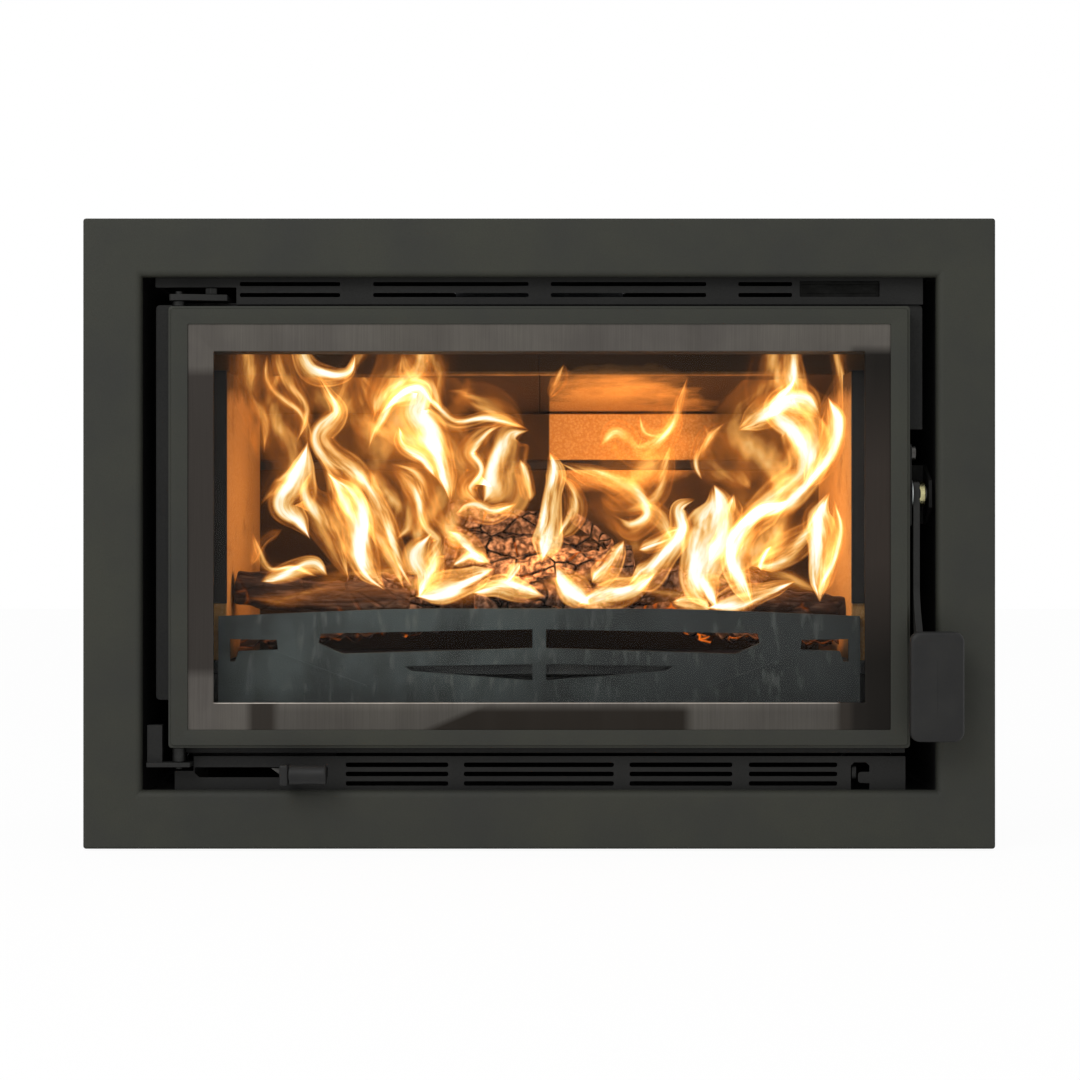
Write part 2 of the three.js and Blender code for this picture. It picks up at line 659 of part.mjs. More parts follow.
// ---------- firebox ----------
function fireboxSide(side) {
  const out = side * firebox.x1;
  const inner = out - side * FIREBOX_PLATE;
  const panel = block(out, inner, fireboxFront, fireboxBack, firebox.z0, firebox.z1);
  const stripBack = sideBrickFront - TOUCH;
  const strip = block(
    inner + side * PAST,
    side * sideBrickIn,
    stripBack - STRIP_THICK,
    stripBack,
    guardTop + STRIP_GAP,
    baffleZ
  );
  return join(panel, strip);
}
place('body', 'firebox_left', fireboxSide(-1), castIron);
place('body', 'firebox_right', fireboxSide(1), castIron);

function fireboxTop() {
  const z = firebox.z1 - FIREBOX_PLATE;
  const sheet = block(-wallEnd, wallEnd, fireboxFront, fireboxBack, z, firebox.z1);
  return cut(sheet, barZ(FLUE_BORE, 0, flueY, z - PAST, firebox.z1 + PAST, WIDE_ROUND));
}
place('body', 'firebox_top', fireboxTop(), castIron);

// Air slider places: knob, tab, lever and valve share the tab's X and the knob's height.
const grilleX0 = firebox.x0;
const tab = { x0: grilleX0 + KNOB_X - TAB_THICK - TOUCH, x1: grilleX0 + KNOB_X - TOUCH };
const knobY = doorFront - KNOB_PROUD;
const knobZ = door.z0 - KNOB_Z;
const valveY = plateFront + VALVE_Y;
const leverZ = knobZ - LEVER_DROP;
const valveX = (tab.x0 + tab.x1) / 2 + VALVE_X;
const valveTop = firebox.z0 - TOUCH * 2;
const valveFoot = valveTop - VALVE_THICK;
const strapTop = valveFoot - STRAP_DROP;

// Floor of the firebox with its bearers, the air port and the two guides of the air valve.
function fireboxBase() {
  const floor = block(-wallEnd, wallEnd, fireboxFront, fireboxBack, firebox.z0, hearth);
  const bearers = [-1, 1].map((side) => {
    const inner = side * (wallEnd - BEARER_WIDTH);
    const front = plateBack + BEARER_FROM_PLATE;
    const back = fireboxBack - FIREBOX_PLATE;
    const foot = casingInside.z0 + TOUCH;
    return block(side * wallEnd, inner, front, back, foot, firebox.z0 + PAST);
  });
  const guides = [-1, 1].map((side) => {
    const rail = VALVE_WIDTH / 2 + RUN;
    const lip = VALVE_WIDTH / 2 - GUIDE_LIP;
    const wall = rail + GUIDE_WALL;
    const profile = [
      [valveY + side * rail, firebox.z0 + PAST],
      [valveY + side * rail, valveFoot - TOUCH],
      [valveY + side * lip, valveFoot - TOUCH],
      [valveY + side * lip, valveFoot - GUIDE_DROP],
      [valveY + side * wall, valveFoot - GUIDE_DROP],
      [valveY + side * wall, firebox.z0 + PAST],
    ];
    const right = valveX + VALVE_LENGTH / 2 + GUIDE_END;
    return sheetYZ(profile, right - SLIDER_STROKE - VALVE_LENGTH + GUIDE_SHORT, right);
  });
  const port = block(
    valveX - VALVE_LENGTH / 2 + PORT_INSET,
    valveX + VALVE_LENGTH / 2 - PORT_INSET,
    valveY - VALVE_WIDTH / 2 + PORT_INSET_Y,
    valveY + VALVE_WIDTH / 2 - PORT_INSET_Y,
    firebox.z0 - PAST,
    hearth + PAST
  );
  const slotHalf = RIDDLE_BAR / 2 + 2 * RUN;
  const barSlot = block(
    riddleBarX - slotHalf,
    riddleBarX + slotHalf,
    uprightFront - RIDDLE_STROKE - 2 * RUN,
    uprightFront + UPRIGHT_WIDTH + 2 * RUN,
    firebox.z0 - PAST,
    hearth + PAST
  );
  return cut(join(floor, ...bearers, ...guides), port, barSlot);
}
place('body', 'firebox_base', fireboxBase(), castIron);
place(
  'body',
  'firebox_back',
  block(
    -wallEnd,
    wallEnd,
    fireboxBack - FIREBOX_PLATE,
    fireboxBack,
    hearth + TOUCH,
    firebox.z1 - FIREBOX_PLATE - TOUCH
  ),
  castIron
);

// Smoke outlet: a flanged spigot on the firebox top.
function flueCollar() {
  const foot = firebox.z1 + TOUCH;
  const rim = opening.z1 + FRAME_BORDER - FLUE_RIM_DROP;
  const outer = FLUE_BORE + FLUE_WALL;
  const profile = [
    [FLUE_BORE, 0],
    [FLUE_BORE + FLUE_FLANGE, 0],
    [FLUE_BORE + FLUE_FLANGE, FLUE_FLANGE_THICK],
    [outer, FLUE_FLANGE_THICK],
    [outer, rim - foot],
    [FLUE_BORE, rim - foot],
  ];
  return turned(profile, 0, flueY, foot, WIDE_ROUND);
}
place('body', 'flue_collar', flueCollar(), castIron);

// ---------- front plate ----------
const plateTop = door.z1 + FRONT_PLATE_TOP;
const lipX = firebox.x1 + FRONT_PLATE_LIP;
function frontPlate() {
  const earLeft = opening.x0 + FRONT_PLATE_EAR;
  const earRight = opening.x1 - FRONT_PLATE_EAR;
  const foot = door.z0 - FRONT_PLATE_FOOT;
  return sheetXZ(
    [
      [-lipX, foot],
      [lipX, foot],
      [lipX, door.z0 + EAR_DROP_RIGHT],
      [earRight, door.z0 + EAR_DROP_RIGHT],
      [earRight, plateTop, FRONT_PLATE_CORNER],
      [earLeft, plateTop, FRONT_PLATE_CORNER],
      [earLeft, door.z0 + EAR_DROP_LEFT, FRONT_PLATE_CORNER],
      [-lipX, door.z0 + EAR_DROP_LEFT],
    ],
    [boxCorners(mouth)],
    plateFront,
    plateBack
  );
}
place('body', 'front_plate', frontPlate(), innerPaint);

// ---------- air grilles ----------
// Round-ended slots that fill a row from x0 to x1: the lengths share what the bars leave.
function slotRow(x0, x1, lengths, bars, z, height) {
  const room = x1 - x0 - bars.reduce((sum, bar) => sum + bar, 0);
  const scale = room / lengths.reduce((sum, length) => sum + length, 0);
  let start = x0;
  return lengths.map((length, i) => {
    const end = start + length * scale;
    const hole = { x0: start, x1: end, z0: z - height / 2, z1: z + height / 2 };
    start = end + (bars[i] ?? 0);
    return boxCorners(hole, height * SLOT_ROUNDING);
  });
}

const topGrille = {
  x0: opening.x0 + FRONT_PLATE_EAR,
  x1: opening.x1 - FRONT_PLATE_EAR,
  z0: plateTop + TOUCH,
  z1: casingInside.z1 - TOUCH,
};
const plateHole = {
  x0: topGrille.x1 - PLATE_HOLE_END - PLATE_HOLE,
  x1: topGrille.x1 - PLATE_HOLE_END,
  z0: topGrille.z1 - PLATE_HOLE_DROP,
  z1: topGrille.z1 - PLATE_HOLE_DROP + PLATE_HOLE_HEIGHT,
};
function topGrilleSheet() {
  const notchX = topGrille.x0 + NOTCH_WIDTH;
  const notchZ = topGrille.z0 + NOTCH_HEIGHT;
  const rowStart = notchX + TOP_SLOT_START;
  const rowEnd = plateHole.x0 - TOP_SLOT_END;
  const slots = TOP_SLOT_ROWS.flatMap((drop) =>
    slotRow(rowStart, rowEnd, TOP_SLOT_LENGTHS, TOP_SLOT_BARS, topGrille.z1 - drop, TOP_SLOT)
  );
  return sheetXZ(
    [
      [notchX, topGrille.z0],
      [topGrille.x1, topGrille.z0],
      [topGrille.x1, topGrille.z1],
      [topGrille.x0, topGrille.z1],
      [topGrille.x0, notchZ, SHEET_CORNER],
      [notchX, notchZ, SHEET_CORNER],
    ],
    [...slots, boxCorners(plateHole, SHEET_CORNER)],
    grilleFront,
    grilleBack
  );
}
place('body', 'top_grille', topGrilleSheet(), innerPaint);

// Blank plate behind the grille's right-hand hole.
function dataPlate() {
  const corners = boxCorners(grow(plateHole, PLATE_LAP), 2 * SHEET_CORNER);
  const dent = grow(plateHole, -PLATE_LAP);
  const face = grilleBack + TOUCH;
  const plate = sheetXZ(corners, [], face, face + PLATE_SHEET);
  const hollow = block(dent.x0, dent.x1, face - PAST, face + PLATE_DENT, dent.z0, dent.z1);
  return cut(plate, hollow);
}
place('body', 'data_plate', dataPlate(), bareSteel);

const bottomGrille = {
  x0: grilleX0,
  x1: lipX,
  z0: casingInside.z0 + TOUCH,
  z1: door.z0 - BOTTOM_GAP,
};
const sliderSlot = {
  x0: grilleX0 + SLIDER_SLOT_X,
  x1: grilleX0 + KNOB_X + KNOB_LENGTH - SLIDER_SLOT_END,
  z0: leverZ - SLIDER_SLOT / 2,
  z1: leverZ + SLIDER_SLOT / 2,
};
function bottomGrilleSheet() {
  const { x0, x1, z0, z1 } = bottomGrille;
  const hookX = riddleBarX - HOOK_NECK / 2;
  const rowStart = sliderSlot.x1 + BOTTOM_SLOT_START;
  const rowEnd = hookX - BOTTOM_SLOT_END;
  const [lengths, bars] = [BOTTOM_SLOT_LENGTHS, BOTTOM_SLOT_BARS];
  const slots = BOTTOM_SLOT_ROWS.flatMap((drop) =>
    slotRow(rowStart, rowEnd, lengths, bars, z1 - drop, BOTTOM_SLOT)
  );
  const slider = [
    [sliderSlot.x0 + SLIDER_SLOT_CHAMFER, sliderSlot.z0],
    [sliderSlot.x1, sliderSlot.z0],
    [sliderSlot.x1, sliderSlot.z1],
    [sliderSlot.x0, sliderSlot.z1],
    [sliderSlot.x0, sliderSlot.z0 + SLIDER_SLOT_CHAMFER],
  ];
  const neck = hookX + HOOK_NECK;
  const wide = hookX + HOOK_WIDTH;
  const top = z1 - HOOK_TOP;
  const hook = [
    [hookX, z0 + HOOK_FOOT],
    [wide, z0 + HOOK_FOOT],
    [wide, z0 + HOOK_STEP],
    [neck, z0 + HOOK_STEP, HOOK_CHAMFER],
    [neck, z0 + HOOK_SHELF, HOOK_CHAMFER],
    [wide, z0 + HOOK_SHELF],
    [wide, top - HOOK_CHAMFER],
    [wide - HOOK_CHAMFER, top],
    [hookX + HOOK_CHAMFER, top],
    [hookX, top - HOOK_CHAMFER],
  ];
  return sheetXZ(
    [
      [x0, z0],
      [x1, z0],
      [x1, z1],
      [x0 + FOOT_NOTCH, z1],
      [x0 + FOOT_NOTCH, z1 - FOOT_NOTCH_HEIGHT],
      [x0, z1 - FOOT_NOTCH_HEIGHT],
    ],
    [...slots, slider, hook],
    grilleFront,
    grilleBack
  );
}
place('body', 'bottom_grille', bottomGrilleSheet(), innerPaint);

// ---------- hinges ----------
const topBracketZ = door.z1 + HINGE_GAP;
const bottomBracketZ = door.z0 - HINGE_FOOT_GAP;
const bracketBolt = { x: hinge.x + BOLT_X, y: hinge.y + BOLT_Y };
function topBracket() {
  const left = hinge.x - BRACKET_EDGE;
  const front = hinge.y - BRACKET_EDGE;
  const right = topGrille.x0 + NOTCH_WIDTH - BRACKET_GAP;
  const back = plateBack + BRACKET_REACH;
  const foot = topBracketZ - PAST;
  const top = topBracketZ + TOP_BRACKET;
  const plate = sheetXY(
    [
      [left, front, BRACKET_EDGE / 2],
      [hinge.x + BRACKET_EDGE, front, BRACKET_EDGE / 2],
      [right, hinge.y],
      [right, back],
      [left, back],
    ],
    topBracketZ,
    top
  );
  const pinHole = barZ(PIN_RADIUS + PIN_GAP, hinge.x, hinge.y, foot, top + PAST);
  const boltHole = barZ(BOLT_RADIUS + BOLT_GAP, bracketBolt.x, bracketBolt.y, foot, top + PAST);
  return cut(plate, pinHole, boltHole);
}
place('body', 'hinge_bracket_top', topBracket(), innerPaint);

function hingeBracketBolt() {
  const { x, y } = bracketBolt;
  const seat = topBracketZ + TOP_BRACKET + TOUCH;
  const head = barZ(BOLT_HEAD, x, y, seat, seat + BOLT_HEAD_HEIGHT, 6);
  const shank = barZ(BOLT_RADIUS, x, y, topBracketZ + TOUCH, seat + PAST);
  return join(head, shank);
}
place('body', 'hinge_bracket_bolt', hingeBracketBolt(), zinc);

function topPin() {
  const top = topBracketZ + TOP_BRACKET + PIN_HEAD;
  const pin = barZ(PIN_RADIUS, hinge.x, hinge.y, door.z1 - PIN_ENTRY, top);
  const collar = barZ(COLLAR_RADIUS, hinge.x, hinge.y, door.z1 + TOUCH, topBracketZ - TOUCH);
  return join(pin, collar);
}
place('body', 'hinge_pin_top', topPin(), bareSteel);

function bottomBracket() {
  const swing = Math.hypot(HINGE_X, HINGE_Y);
  const blockRight = hinge.x - swing - BLOCK_GAP;
  const blockLeft = blockRight - BLOCK_WIDTH;
  const right = bottomGrille.x0 + FOOT_NOTCH - RUN;
  const front = hinge.y - BRACKET_EDGE;
  const tongueBack = fireboxFront + TONGUE_REACH;
  const joint = bottomBracketZ - PAST; // pieces on the plate start a little inside it
  const plate = sheetXY(
    [
      [blockLeft, front, BRACKET_EDGE / 4],
      [right, front, BRACKET_EDGE / 4],
      [right, tongueBack],
      [firebox.x0 + TOUCH, tongueBack],
      [firebox.x0 + TOUCH, grilleBack],
      [blockLeft, grilleBack],
    ],
    bottomBracketZ - BOTTOM_BRACKET,
    bottomBracketZ
  );
  const blockTop = bottomBracketZ + BLOCK_HEIGHT;
  const upright = block(blockLeft, blockRight, hinge.y, grilleBack, joint, blockTop);
  const rib = block(
    firebox.x0 + TOUCH,
    firebox.x0 + FIREBOX_PLATE,
    fireboxFront,
    tongueBack,
    joint,
    firebox.z0 - TOUCH
  );
  const holeFoot = bottomBracketZ - BOTTOM_BRACKET - PAST;
  const pinHole = barZ(PIN_RADIUS + PIN_GAP, hinge.x, hinge.y, holeFoot, bottomBracketZ + PAST);
  return cut(join(plate, upright, rib), pinHole);
}
place('body', 'hinge_bracket_bottom', bottomBracket(), innerPaint);
place(
  'body',
  'hinge_pin_bottom',
  barZ(PIN_RADIUS, hinge.x, hinge.y, bottomBracketZ - PIN_FOOT, door.z0 + PIN_ENTRY),
  bareSteel
);
const bushHeight = HINGE_FOOT_GAP - 2 * TOUCH;
place(
  'body',
  'hinge_bush',
  turned(
    [
      [PIN_RADIUS + PIN_GAP, 0],
      [COLLAR_RADIUS, 0],
      [COLLAR_RADIUS, bushHeight],
      [PIN_RADIUS + PIN_GAP, bushHeight],
    ],
    hinge.x,
    hinge.y,
    bottomBracketZ + TOUCH
  ),
  zinc
);

// ---------- door ----------
const doorSight = {
  x0: door.x0 + DOOR_SIDE_BAND,
  x1: door.x1 - DOOR_SIDE_BAND,
  z0: door.z0 + DOOR_END_BAND,
  z1: door.z1 - DOOR_END_BAND,
};
const glassSight = {
  x0: doorSight.x0 + TRIM_WIDTH,
  x1: doorSight.x1 - TRIM_WIDTH,
  z0: doorSight.z0 + TRIM_END_WIDTH,
  z1: doorSight.z1 - TRIM_END_WIDTH,
};
const latchBoltZ = latch.z + LATCH_BOLT_RISE;
const latchBoltHole = LATCH_BOLT + BOLT_GAP;
function doorFrame() {
  const inside = grow(door, -DOOR_SHEET);
  const leaf = ring([
    [doorSight, doorFront + DOOR_SHEET, SHEET_CORNER],
    [doorSight, doorFront + SIGHT_EASE, SHEET_CORNER],
    [grow(doorSight, SIGHT_EASE), doorFront, SHEET_CORNER],
    ...easedEdge(door, doorFront, DOOR_EASE, DOOR_CORNER),
    [door, doorBack, DOOR_CORNER],
    [inside, doorBack, DOOR_CORNER / 2],
    [inside, doorFront + DOOR_SHEET, DOOR_CORNER / 2],
  ]);
  const pinHole = barZ(PIN_RADIUS + PIN_GAP, hinge.x, hinge.y, door.z0 - PAST, door.z1 + PAST);
  const boltHole = barX(latchBoltHole, inside.x1 - PAST, door.x1 + PAST, latch.y, latchBoltZ);
  return cut(leaf, pinHole, boltHole);
}
place('door', 'door_frame', doorFrame(), paint);

place(
  'door',
  'glass_trim',
  ring([
    [grow(doorSight, TRIM_LAP), trimFront, 2 * SHEET_CORNER],
    [grow(glassSight, TRIM_EASE), trimFront, SHEET_CORNER],
    [glassSight, trimFront + TRIM_SHEET / 2, SHEET_CORNER],
    [glassSight, trimFront + TRIM_SHEET, SHEET_CORNER],
    [grow(doorSight, TRIM_LAP), trimFront + TRIM_SHEET, 2 * SHEET_CORNER],
  ]),
  brushed
);
const pane = grow(glassSight, GLASS_LAP);
place(
  'door',
  'door_glass',
  block(pane.x0, pane.x1, glassFront, glassFront + GLASS_THICK, pane.z0, pane.z1),
  glass
);
const glassSealInner = grow(glassSight, GLASS_SEAL_START);
const glassSealOuter = grow(glassSealInner, GLASS_SEAL_WIDTH);
place(
  'door',
  'glass_rope_seal',
  ring([
    [glassSealInner, glassSealFront, SHEET_CORNER],
    [glassSealOuter, glassSealFront, 2 * SHEET_CORNER],
    [glassSealOuter, glassSealFront + GLASS_SEAL, 2 * SHEET_CORNER],
    [glassSealInner, glassSealFront + GLASS_SEAL, SHEET_CORNER],
  ]),
  rope
);

// Glass retainer: a sheet ring with two low ribs that hold the door's rope seal between them.
const ropeOuter = grow(door, -(DOOR_SEAL_INSET - DOOR_SEAL_WIDTH / 2));
const ropeInner = grow(door, -(DOOR_SEAL_INSET + DOOR_SEAL_WIDTH / 2));
function glassRetainer() {
  const front = retainerFront;
  const back = retainerFront + RETAINER_SHEET;
  const rib = back + RIB_HEIGHT;
  const [narrow, wide] = [SHEET_CORNER, 2 * SHEET_CORNER];
  const inner = grow(glassSight, RETAINER_LAP);
  const outer = grow(door, -DOOR_SHEET - TOUCH);
  const sheet = ring([
    [inner, front, narrow],
    [outer, front, wide],
    [outer, back, wide],
    [grow(ropeOuter, TOUCH + RIB), back, wide],
    [grow(ropeOuter, TOUCH + RIB), rib, wide],
    [grow(ropeOuter, TOUCH), rib, wide],
    [grow(ropeOuter, TOUCH), back, wide],
    [grow(ropeInner, -TOUCH), back, narrow],
    [grow(ropeInner, -TOUCH), rib, narrow],
    [grow(ropeInner, -TOUCH - RIB), rib, narrow],
    [grow(ropeInner, -TOUCH - RIB), back, narrow],
    [inner, back, narrow],
  ]);
  // Room for the hinge pins in the two left-hand corners.
  const notchRight = hinge.x + PIN_RADIUS + PIN_GAP;
  const notchHeight = PIN_ENTRY + PIN_GAP;
  const notches = [door.z0, door.z1 - notchHeight].map((z) =>
    block(door.x0, notchRight, front - PAST, front + RETAINER_SHEET / 2, z, z + notchHeight)
  );
  return cut(sheet, ...notches);
}
place('door', 'glass_retainer', glassRetainer(), bareSteel);
place(
  'door',
  'door_rope_seal',
  ring([
    [ropeInner, doorSealFront, SHEET_CORNER],
    [ropeOuter, doorSealFront, 2 * SHEET_CORNER],
    [ropeOuter, doorSealBack - SEAL_EASE, 2 * SHEET_CORNER],
    [grow(ropeOuter, -SEAL_EASE), doorSealBack, 2 * SHEET_CORNER],
    [grow(ropeInner, SEAL_EASE), doorSealBack, SHEET_CORNER],
    [ropeInner, doorSealBack - SEAL_EASE, SHEET_CORNER],
  ]),
  rope
);

// Latch plate on the leaf's right edge, with the stud that the handle turns on.
const latchPlate = { x0: door.x1 + TOUCH, x1: door.x1 + TOUCH + LATCH_PLATE };
const washerX = latchPlate.x1 + TOUCH;
const armX = washerX + WASHER_THICK + TOUCH;
function latchPlateWithStud() {
  const { x0, x1 } = latchPlate;
  const front = latch.y - LATCH_PLATE_FRONT;
  const back = latch.y + LATCH_PLATE_BACK;
  const foot = latch.z - LATCH_PLATE_HALF;
  const top = latchBoltZ + LATCH_PLATE_FRONT;
  const plate = sheetYZ(
    [
      [front, foot, DOOR_CORNER],
      [back, foot, DOOR_CORNER],
      [back, top, DOOR_CORNER],
      [front, top, DOOR_CORNER],
    ],
    x0,
    x1
  );
  const stud = barX(STUD_RADIUS, x0, armX + ARM_THICK + STUD_END, latch.y, latch.z);
  const hole = barX(latchBoltHole, x0 - PAST, x1 + PAST, latch.y, latchBoltZ);
  return cut(join(plate, stud), hole);
}
place('door', 'latch_plate', latchPlateWithStud(), innerPaint);

function latchBolt() {
  const seat = latchPlate.x1 + TOUCH;
  const end = seat + LATCH_BOLT_HEAD_HEIGHT;
  const head = barX(LATCH_BOLT_HEAD, seat, end, latch.y, latchBoltZ);
  const shank = barX(LATCH_BOLT, door.x1 - DOOR_SHEET, seat + PAST, latch.y, latchBoltZ);
  return join(head, shank);
}
place('door', 'latch_bolt', latchBolt(), bareSteel);

// A flat ring about the X axis, bored to turn on a stud.
function studRing(outer, x0, x1, y, z) {
  const bore = barX(STUD_RADIUS + PIN_GAP, x0 - PAST, x1 + PAST, y, z);
  return cut(barX(outer, x0, x1, y, z, WIDE_ROUND), bore);
}
place(
  'door',
  'latch_washer',
  studRing(WASHER_RADIUS, washerX, washerX + WASHER_THICK, latch.y, latch.z),
  zinc
);

// ---------- handle ----------
const rollerX = armX + ARM_THICK + ROLLER_SIDE;
const rollerY = latch.y + ROLLER_BACK;
const lugY = rollerY + ROLLER_RADIUS + LUG_GAP + LUG_RADIUS;
const padBack = doorFront - PAD_FINGER_ROOM;
const padBox = {
  x0: door.x1 - PAD_LEFT,
  x1: door.x1 - PAD_LEFT + PAD_WIDTH,
  z0: door.z0 + PAD_Z,
  z1: door.z0 + PAD_Z + PAD_HEIGHT,
};
function handleArm() {
  const { y, z } = latch;
  const front = padBack + TOUCH;
  const seatTop = padBox.z1 - SEAT_TOP;
  const seatFoot = padBox.z0 + SEAT_FOOT;
  const seatBack = front + ARM_FRONT;
  const neckFront = y - ARM_NECK / 2;
  const neckBack = y + ARM_NECK / 2;
  const tailBack = lugY + LUG_RADIUS + PAST;
  const ease = ARM_NECK / 3;
  const corners = [
    [front, seatFoot],
    [seatBack, seatFoot, ease],
    [seatBack, seatTop - 1.5 * ARM_NECK, 2 * ease],
    [neckBack, seatTop + 3 * ARM_NECK, 3 * ease],
    [neckBack, z - ARM_BOSS, ease],
    [y + 1.5 * ARM_NECK, z - ARM_TAIL, ease],
    [tailBack, z - ARM_TAIL, ease],
    [tailBack, z + ARM_TAIL, ease],
    [y + ARM_NECK, z + ARM_TAIL, ease],
    [neckBack, z + ARM_BOSS, ease / 2],
    [neckFront, z + ARM_BOSS, ease],
    [neckFront, seatTop + 3.5 * ARM_NECK, 3 * ease],
    [front, seatTop, ease],
  ];
  const arm = sheetYZ(corners, armX, armX + ARM_THICK);
  const lug = barX(LUG_RADIUS, armX + PAST, rollerX + ROLLER_THICK, lugY, z);
  const hole = barX(STUD_RADIUS + PIN_GAP, armX - PAST, armX + ARM_THICK + PAST, y, z);
  return cut(join(arm, lug), hole);
}
place('handle', 'handle_arm', handleArm(), innerPaint);

function handlePad() {
  const corners = boxCorners(grow(padBox, -PAD_EASE), 2 * PAD_EASE);
  const geometry = new THREE.ExtrudeGeometry(outline(corners), {
    depth: PAD_THICK - 2 * PAD_EASE,
    bevelEnabled: true,
    bevelThickness: PAD_EASE,
    bevelSize: PAD_EASE,
    bevelSegments: 3,
    curveSegments: 4,
  });
  return surface(solid(geometry.rotateX(Math.PI / 2).translate(0, padBack - PAD_EASE, 0)));
}
place('handle', 'handle_pad', handlePad(), bakelite);

// ---------- catch on the firebox side ----------
const catchLegX = opening.x1 - CATCH_SIDE - CATCH_SHEET;
function catchBracket() {
  const z0 = latch.z - CATCH_HALF;
  const z1 = latch.z + CATCH_HALF;
  const web = lugY + CATCH_WEB;
  const back = web + CATCH_SHEET;
  const left = firebox.x1 + TOUCH;
  const right = catchLegX + CATCH_SHEET;
  const legFront = rollerY - ROLLER_RADIUS - PAST;
  const flange = block(left, left + CATCH_SHEET, fireboxFront + CATCH_FRONT, back, z0, z1);
  const middle = block(left, right, web, back, z0, z1);
  const leg = sheetYZ(
    [
      [legFront, latch.z - CATCH_LEG_HALF],
      [web + PAST, z0],
      [back, z0],
      [back, z1],
      [web + PAST, z1],
      [legFront, latch.z + CATCH_LEG_HALF],
    ],
    catchLegX,
    right
  );
  return join(flange, middle, leg);
}
place('body', 'catch_bracket', catchBracket(), innerPaint);

function catchStud() {
  const foot = catchLegX - TOUCH;
  const seat = rollerX + ROLLER_THICK + TOUCH;
  const pin = barX(STUD_RADIUS, rollerX - TOUCH, foot, rollerY, latch.z);
  const collar = barX(CATCH_COLLAR, seat, foot, rollerY, latch.z);
  return join(pin, collar);
}
place('body', 'catch_stud', catchStud(), bareSteel);
place(
  'roller',
  'catch_roller',
  studRing(ROLLER_RADIUS, rollerX, rollerX + ROLLER_THICK, rollerY, latch.z),
  brass
);

// ---------- air slider ----------
function airLever() {
  const wing = tab.x0 - LEVER_WING;
  const root = tab.x1 + LEVER_ROOT;
  const low = leverZ - LEVER_HEIGHT / 2;
  const high = leverZ + LEVER_HEIGHT / 2;
  const front = plateBack + RUN;
  const face = sheetXZ(
    [
      [tab.x0 - LEVER_WING / 3, low],
      [root, low],
      [root, strapTop],
      [tab.x0, strapTop],
      [tab.x0, high],
      [wing, high],
      [wing, high - LEVER_HEIGHT / 7],
    ],
    [],
    front,
    front + LEVER_SHEET
  );
  const neck = block(tab.x0, tab.x1, knobY, front + PAST, low, high);
  const [headFoot, headTop] = [knobZ - TAB_HEIGHT / 2, knobZ + TAB_HEIGHT / 2];
  const head = sheetYZ(
    [
      [knobY - TAB_FRONT, headFoot, DOOR_CORNER],
      [knobY + TAB_BACK, headFoot, DOOR_CORNER],
      [knobY + TAB_BACK, headTop, DOOR_CORNER],
      [knobY - TAB_FRONT, headTop, DOOR_CORNER],
    ],
    tab.x0,
    tab.x1
  );
  const [riserFront, riserBack] = [valveY - STRAP_HALF, valveY + STRAP_HALF];
  const strap = block(tab.x0, root, front, riserBack, strapTop - STRAP_THICK, strapTop);
  const riserTop = valveFoot - TOUCH;
  const riser = block(tab.x0, root, riserFront, riserBack, strapTop - PAST, riserTop);
  return join(face, neck, head, strap, riser);
}
place('air', 'air_lever', airLever(), zinc);

function airKnob() {
  const [r, length] = [KNOB_RADIUS, KNOB_LENGTH];
  const profile = [
    [0, 0],
    [r - 0.8, 0],
    [r, 0.9],
    [r - 0.5, length / 2],
    [r, length - 0.9],
    [r - 0.8, length],
    [0, length],
  ];
  const barrel = turned(profile, 0, 0, 0, 20).rotateY(Math.PI / 2);
  return barrel.translate(tab.x1 + TOUCH, knobY, knobZ);
}
place('air', 'air_knob', airKnob(), bakelite);
place(
  'air',
  'air_valve_plate',
  block(
    valveX - VALVE_LENGTH / 2,
    valveX + VALVE_LENGTH / 2,
    valveY - VALVE_WIDTH / 2,
    valveY + VALVE_WIDTH / 2,
    valveFoot,
    valveTop
  ),
  galvanised
);

// ---------- grate and ash ----------
function ashSlots(half, z0, z1) {
  return Array.from({ length: ASH_SLOTS }, (_, i) => {
    const y = slotMiddle + (i - (ASH_SLOTS - 1) / 2) * ASH_PITCH;
    return block(-half, half, y - ASH_SLOT / 2, y + ASH_SLOT / 2, z0 - PAST, z1 + PAST);
  });
}
function grateFrame() {
  const plate = block(-grateHalf, grateHalf, grateFront, liningBack, grateFoot, grateTop);
  const skirts = [-1, 1].map((side) => {
    const inner = side * (grateHalf - GRATE_SKIRT);
    const foot = hearth + TOUCH;
    return block(inner, side * grateHalf, grateFront, liningBack, foot, grateFoot + PAST);
  });
  const runners = [-1, 1].map((side) => {
    const web = RIDDLE_HALF + RUN;
    const wall = web + RUNNER_WALL;
    const foot = riddleFoot - RUNNER_DROP;
    const profile = [
      [side * web, grateFoot + PAST],
      [side * web, riddleFoot - TOUCH],
      [side * (web - RUNNER_LIP), riddleFoot - TOUCH],
      [side * (web - RUNNER_LIP), foot],
      [side * wall, foot],
      [side * wall, grateFoot + PAST],
    ];
    return sheetXZ(profile, [], uprightFront + RUNNER_START, slotMiddle + riddleHalfDepth);
  });
  return cut(join(plate, ...skirts, ...runners), ...ashSlots(slotField, grateFoot, grateTop));
}
place('body', 'grate_frame', grateFrame(), castIron);

function riddlingGrate() {
  const back = slotMiddle + riddleHalfDepth;
  const plate = block(-RIDDLE_HALF, RIDDLE_HALF, uprightFront, back, riddleFoot, riddleTop);
  const reach = block(
    RIDDLE_HALF - PAST,
    riddleBarX + RIDDLE_BAR,
    uprightFront,
    uprightFront + UPRIGHT_WIDTH,
    riddleFoot,
    riddleFoot + REACH_THICK
  );
  return cut(join(plate, reach), ...ashSlots(slotField, riddleFoot, riddleTop));
}
place('riddle', 'riddling_grate', riddlingGrate(), castIron);

